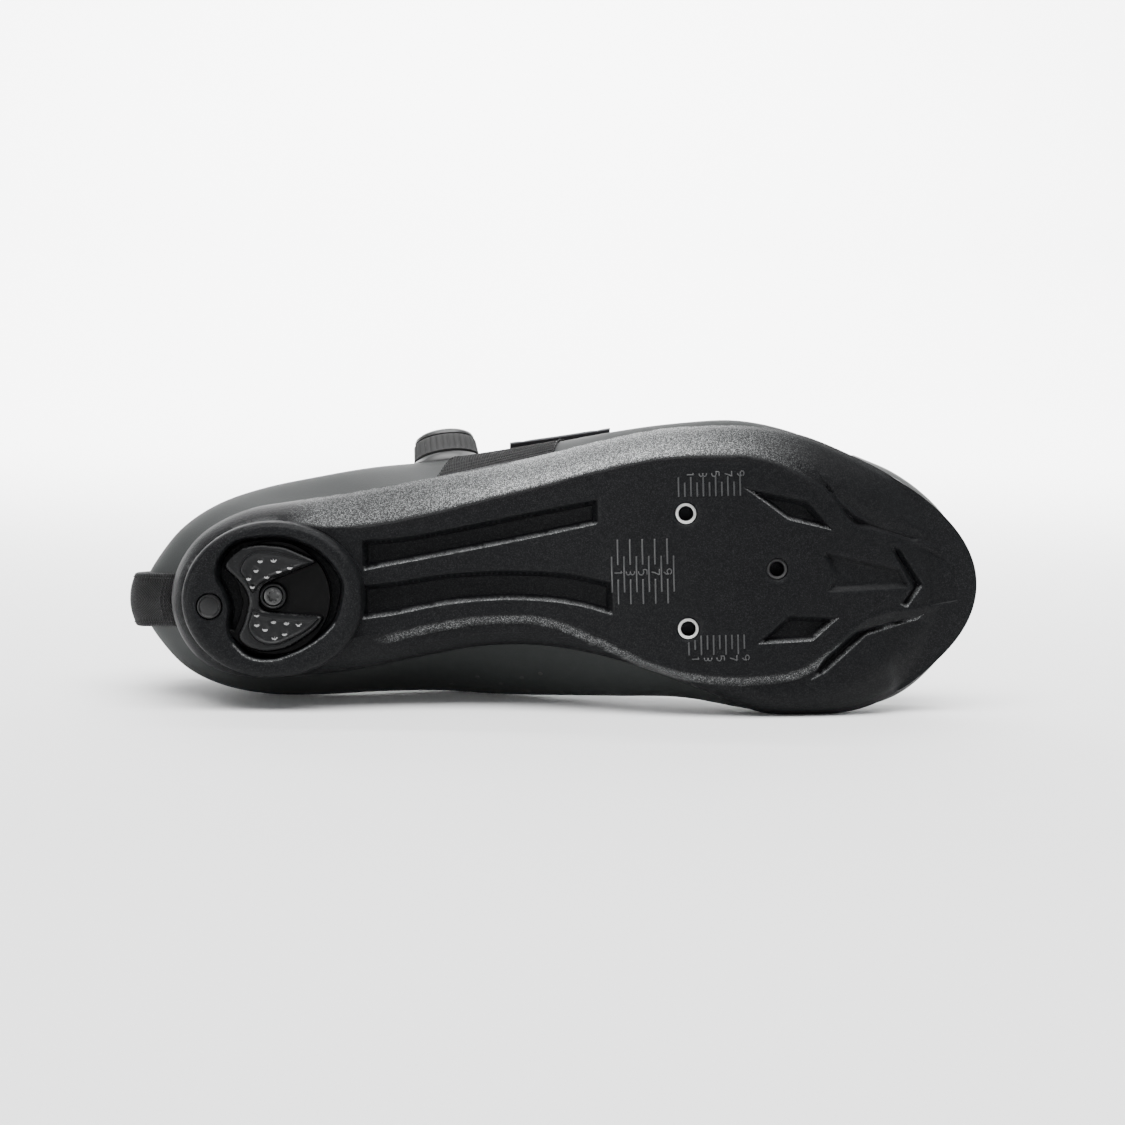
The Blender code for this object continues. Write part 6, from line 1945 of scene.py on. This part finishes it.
@dataclass
class Closure:
    """The dial on the outer flap, with its seat, knob and cap, and the cable to the instep strap."""

    place: tuple[float, float] = (0.372, 2.55)
    radius: float = 11.5 * MM
    flange: float = 1.2 * MM
    seat: float = 2.6 * MM
    height: float = 6.5 * MM
    cap_height: float = 2.2 * MM
    ribs: int = 30
    cable_radius: float = 0.75 * MM
    # Along and rise, both counted from the dial's place
    cable_path: tuple[tuple[float, float], ...] = (
        (0.020, 0.42), (0.020, 0.75), (0.035, 0.93), (0.050, 0.75), (0.050, 0.42),
    )

    def __post_init__(self) -> None:
        """Works out the dial's middle and axis."""
        self.turn = float(LAST.turn_of(self.place[0]))
        self.middle = LAST.face(self.turn, self.place[1], 0.0)
        self.axis = LAST.outward(self.turn, self.place[1])

    def build(self) -> None:
        """Makes seat, knob, cap and cable."""
        settle(self.base(), "dial_plastic", "dial_base")
        settle(self.knob(), "dial_rubber", "dial_knob")
        settle(self.cap(), "dial_plastic", "dial_cap")
        settle(self.cable(), "cable_steel", "closure_cable")

    def base(self) -> bpy.types.Object:
        """The seat: its foot follows the flap, then it rises in a soft cone to a flat ring."""
        angles = full_turn(56)
        along = LAST.rib(self.turn + 0.01, self.place[1]) - LAST.rib(self.turn - 0.01, self.place[1])
        across_rate = np.linalg.norm(along) / 0.02
        up = LAST.rib(self.turn, self.place[1] + 0.01) - LAST.rib(self.turn, self.place[1] - 0.01)
        up_rate = np.linalg.norm(up) / 0.02
        ahead = unit(along)
        aside = np.cross(self.axis, ahead)
        rings = []
        for share, rise in ((0.02, FIT_GAP), (0.5, FIT_GAP), (1.0, FIT_GAP), (1.0, FIT_GAP + 0.6 * MM)):
            reach = (self.radius + self.flange) * share
            turns = self.turn + np.cos(angles) * reach / across_rate
            rises = self.place[1] + np.sin(angles) * reach / up_rate
            rings.append(LAST.face(turns, rises, rise))
        around = np.cos(angles)[:, None] * ahead + np.sin(angles)[:, None] * aside
        for share, rise in ((1.04, 0.72), (1.0, 0.94), (0.96, 1.0), (0.02, 1.0)):
            rings.append(self.middle + self.axis * self.seat * rise + around * self.radius * share)
        shape = Shape()
        shape.grid(np.array(rings), around=True)
        shape.add(rings[0], [list(range(56))])
        shape.add(rings[-1], [list(range(56))])
        return shape.build("dial_seat", [DIAL_PLASTIC], sharp=40.0)

    def knob(self) -> bpy.types.Object:
        """The knob: a turned body whose side waves into grip ribs."""
        r, h = self.radius, self.height
        profile = [(0.0, 0.0), (r * 0.95, 0.0), (r, h * 0.06)]
        profile += [(r * (1 - 0.06 * t), h * t) for t in (0.15, 0.4, 0.65, 0.85)]
        profile += [(r * 0.93, h * 0.94), (r * 0.88, h), (0.0, h)]

        def grip(ring: Array, angle: Array) -> Array:
            """Waves the side's rings into ribs."""
            depth = np.where((ring >= 3) & (ring <= 7), 0.045, 0.0)
            return 1 - depth * (0.5 + 0.5 * np.cos(self.ribs * angle)) ** 2

        start = self.middle + self.axis * (self.seat + FIT_GAP)
        grid = turned(start, self.axis, profile, self.ribs * 8, grip)
        return Shape().grid(grid, around=True).build("dial_grip", [DIAL_RUBBER], sharp=35.0)

    def cap(self) -> bpy.types.Object:
        """The cap: a low dome with a ring groove."""
        r, h = self.radius * 0.9, self.cap_height
        profile = [
            (0.0, 0.0), (r, 0.0), (r, h * 0.25), (r * 0.96, h * 0.6), (r * 0.86, h * 0.9), (r * 0.72, h),
            (r * 0.66, h * 0.98), (r * 0.63, h * 0.72), (r * 0.59, h * 0.72), (r * 0.56, h * 0.98),
            (r * 0.30, h * 0.94), (0.0, h * 0.92),
        ]
        start = self.middle + self.axis * (self.seat + self.height + 2 * FIT_GAP)
        grid = turned(start, self.axis, profile, 72)
        return Shape().grid(grid, around=True).build("dial_lid", [DIAL_PLASTIC], sharp=30.0)

    def cable(self) -> bpy.types.Object:
        """The cable: a round section carried along its path, with seven strands that wind round it."""
        path = np.array([(self.place[0] + a, self.place[1] + b) for a, b in self.cable_path])
        at = np.linspace(0, len(path) - 1, 90)
        knots = np.arange(len(path), dtype=float)
        shares, rises = smooth(knots, path[:, 0], at), smooth(knots, path[:, 1], at)
        turns = LAST.turn_of(shares)
        line = LAST.face(turns, rises, FIT_GAP * 1.5 + self.cable_radius)
        away = LAST.outward(turns, rises)
        ahead = unit(np.gradient(line, axis=0))
        aside = unit(np.cross(ahead, away))
        up = np.cross(aside, ahead)
        angles = full_turn(28)[None, :]
        wind = np.linspace(0, 2 * math.pi * 8, 90)[:, None]
        radius = self.cable_radius * (0.93 + 0.07 * np.cos(7 * angles + wind))
        rings = line[:, None] + radius[..., None] * (
            np.cos(angles)[..., None] * aside[:, None] + np.sin(angles)[..., None] * up[:, None]
        )
        shape = Shape()
        shape.grid(rings, around=True)
        shape.add(rings[[0, -1]], [list(range(28))[::-1], list(range(28, 56))])
        return shape.build("closure_wire", [CABLE_STEEL], sharp=50.0)


@dataclass(frozen=True)
class Paper(Finish):
    """The pale paper under and behind the shoe."""

    def dress(self, graph: Graph, shader: bpy.types.Node) -> None:
        """A faint tooth in the bump."""
        tooth = graph.add("ShaderNodeTexNoise", {"Vector": self.place(graph), "Scale": 700.0, "Detail": 0.0})
        self.bump(graph, shader, tooth.outputs["Fac"], 0.01 * MM, 0.2)


@dataclass(frozen=True)
class Lamp:
    """A soft rectangular light: where it hangs, what it faces, its two sides and its power in watts."""

    name: str
    place: tuple[float, float, float]
    aim: tuple[float, float, float]
    size: tuple[float, float]
    power: float

    def hang(self) -> None:
        """Hangs the light."""
        data = bpy.data.lights.new(self.name, "AREA")
        data.shape = "RECTANGLE"
        data.size, data.size_y = self.size
        data.energy = self.power
        lamp = bpy.data.objects.new(self.name, data)
        lamp.location = self.place
        lamp.rotation_euler = (Vector(self.aim) - Vector(self.place)).to_track_quat("-Z", "Y").to_euler()
        bpy.context.scene.collection.objects.link(lamp)


@dataclass
class Studio:
    """The paper sweep, the soft lights and the camera at the photograph's angle to the shoe."""

    # The camera's place in metres, its turns in radians and its lens in millimetres
    place: tuple[float, float, float] = (-0.0348, -0.8597, 0.1212)
    yaw: float = -0.0457
    pitch: float = -0.0884
    roll: float = 0.0197
    lens: float = 79.5
    # The sweep's profile from front to back: y and z
    sweep: tuple[tuple[float, float], ...] = (
        (-8.0, 0.0), (-1.0, 0.0), (0.0, 0.0), (1.0, 0.0), (1.6, 0.01), (2.1, 0.07), (2.5, 0.25), (2.8, 0.6),
        (2.95, 1.2), (3.0, 2.2), (3.0, 3.2),
    )
    half_width: float = 8.0
    world_strength: float = 0.42
    lamps: tuple[Lamp, ...] = (
        Lamp("overhead_softbox", (0.05, -0.45, 1.25), (0.0, 0.0, 0.0), (1.8, 0.9), 54.0),
        Lamp("low_fill", (-1.3, -1.3, 0.12), (0.0, 0.0, 0.03), (0.9, 0.2), 16.0),
        Lamp("backdrop_light", (0.0, 1.2, 1.9), (0.0, 2.9, 0.6), (2.4, 0.4), 420.0),
    )

    def build(self) -> None:
        """Makes the paper, the lights and the camera."""
        self.paper()
        for lamp in self.lamps:
            lamp.hang()
        self.camera()
        world = bpy.data.worlds.new("studio_air")
        world.use_nodes = True
        air = world.node_tree.nodes["Background"]
        air.inputs["Color"].default_value = (0.94, 0.97, 1.0, 1)
        air.inputs["Strength"].default_value = self.world_strength
        bpy.context.scene.world = world

    def paper(self) -> None:
        """The sweep: one profile in y and z carried across, flat under the shoe and curved up behind it."""
        profile = np.array(self.sweep)
        x = np.linspace(-self.half_width, self.half_width, 9)
        grid = stacked(x[None, :], profile[:, :1], profile[:, 1:])
        mesh = bpy.data.meshes.new("paper_sweep")
        mesh.from_pydata(grid.reshape(-1, 3).tolist(), [], grid_quads(*grid.shape[:2]).tolist())
        mesh.shade_smooth()
        mesh.materials.append(Paper("studio_paper", (0.84, 0.84, 0.84), 0.8, specular=0.2).material())
        floor = bpy.data.objects.new("paper_sweep", mesh)
        bpy.context.scene.collection.objects.link(floor)

    def camera(self) -> None:
        """Sets up the camera by its place and its turns about the upright, the level and its own axis."""
        data = bpy.data.cameras.new("camera")
        data.lens = self.lens
        data.sensor_width = 36.0
        data.clip_start = 0.01
        camera = bpy.data.objects.new("camera", data)
        turn = Matrix.Rotation(self.yaw, 4, "Z") @ Matrix.Rotation(math.pi / 2 + self.pitch, 4, "X")
        camera.matrix_world = Matrix.Translation(self.place) @ turn @ Matrix.Rotation(self.roll, 4, "Z")
        bpy.context.scene.collection.objects.link(camera)
        bpy.context.scene.camera = camera


def main() -> None:
    """Builds every part of the shoe, then the studio round it."""
    logging.basicConfig(level=logging.INFO, format="%(name)s: %(message)s")
    Outsole(Underside()).build()
    HeelUnit().build()
    Upper().build()
    SoftTrims().build()
    Closure().build()
    Studio().build()


if __name__ == "__main__":
    main()
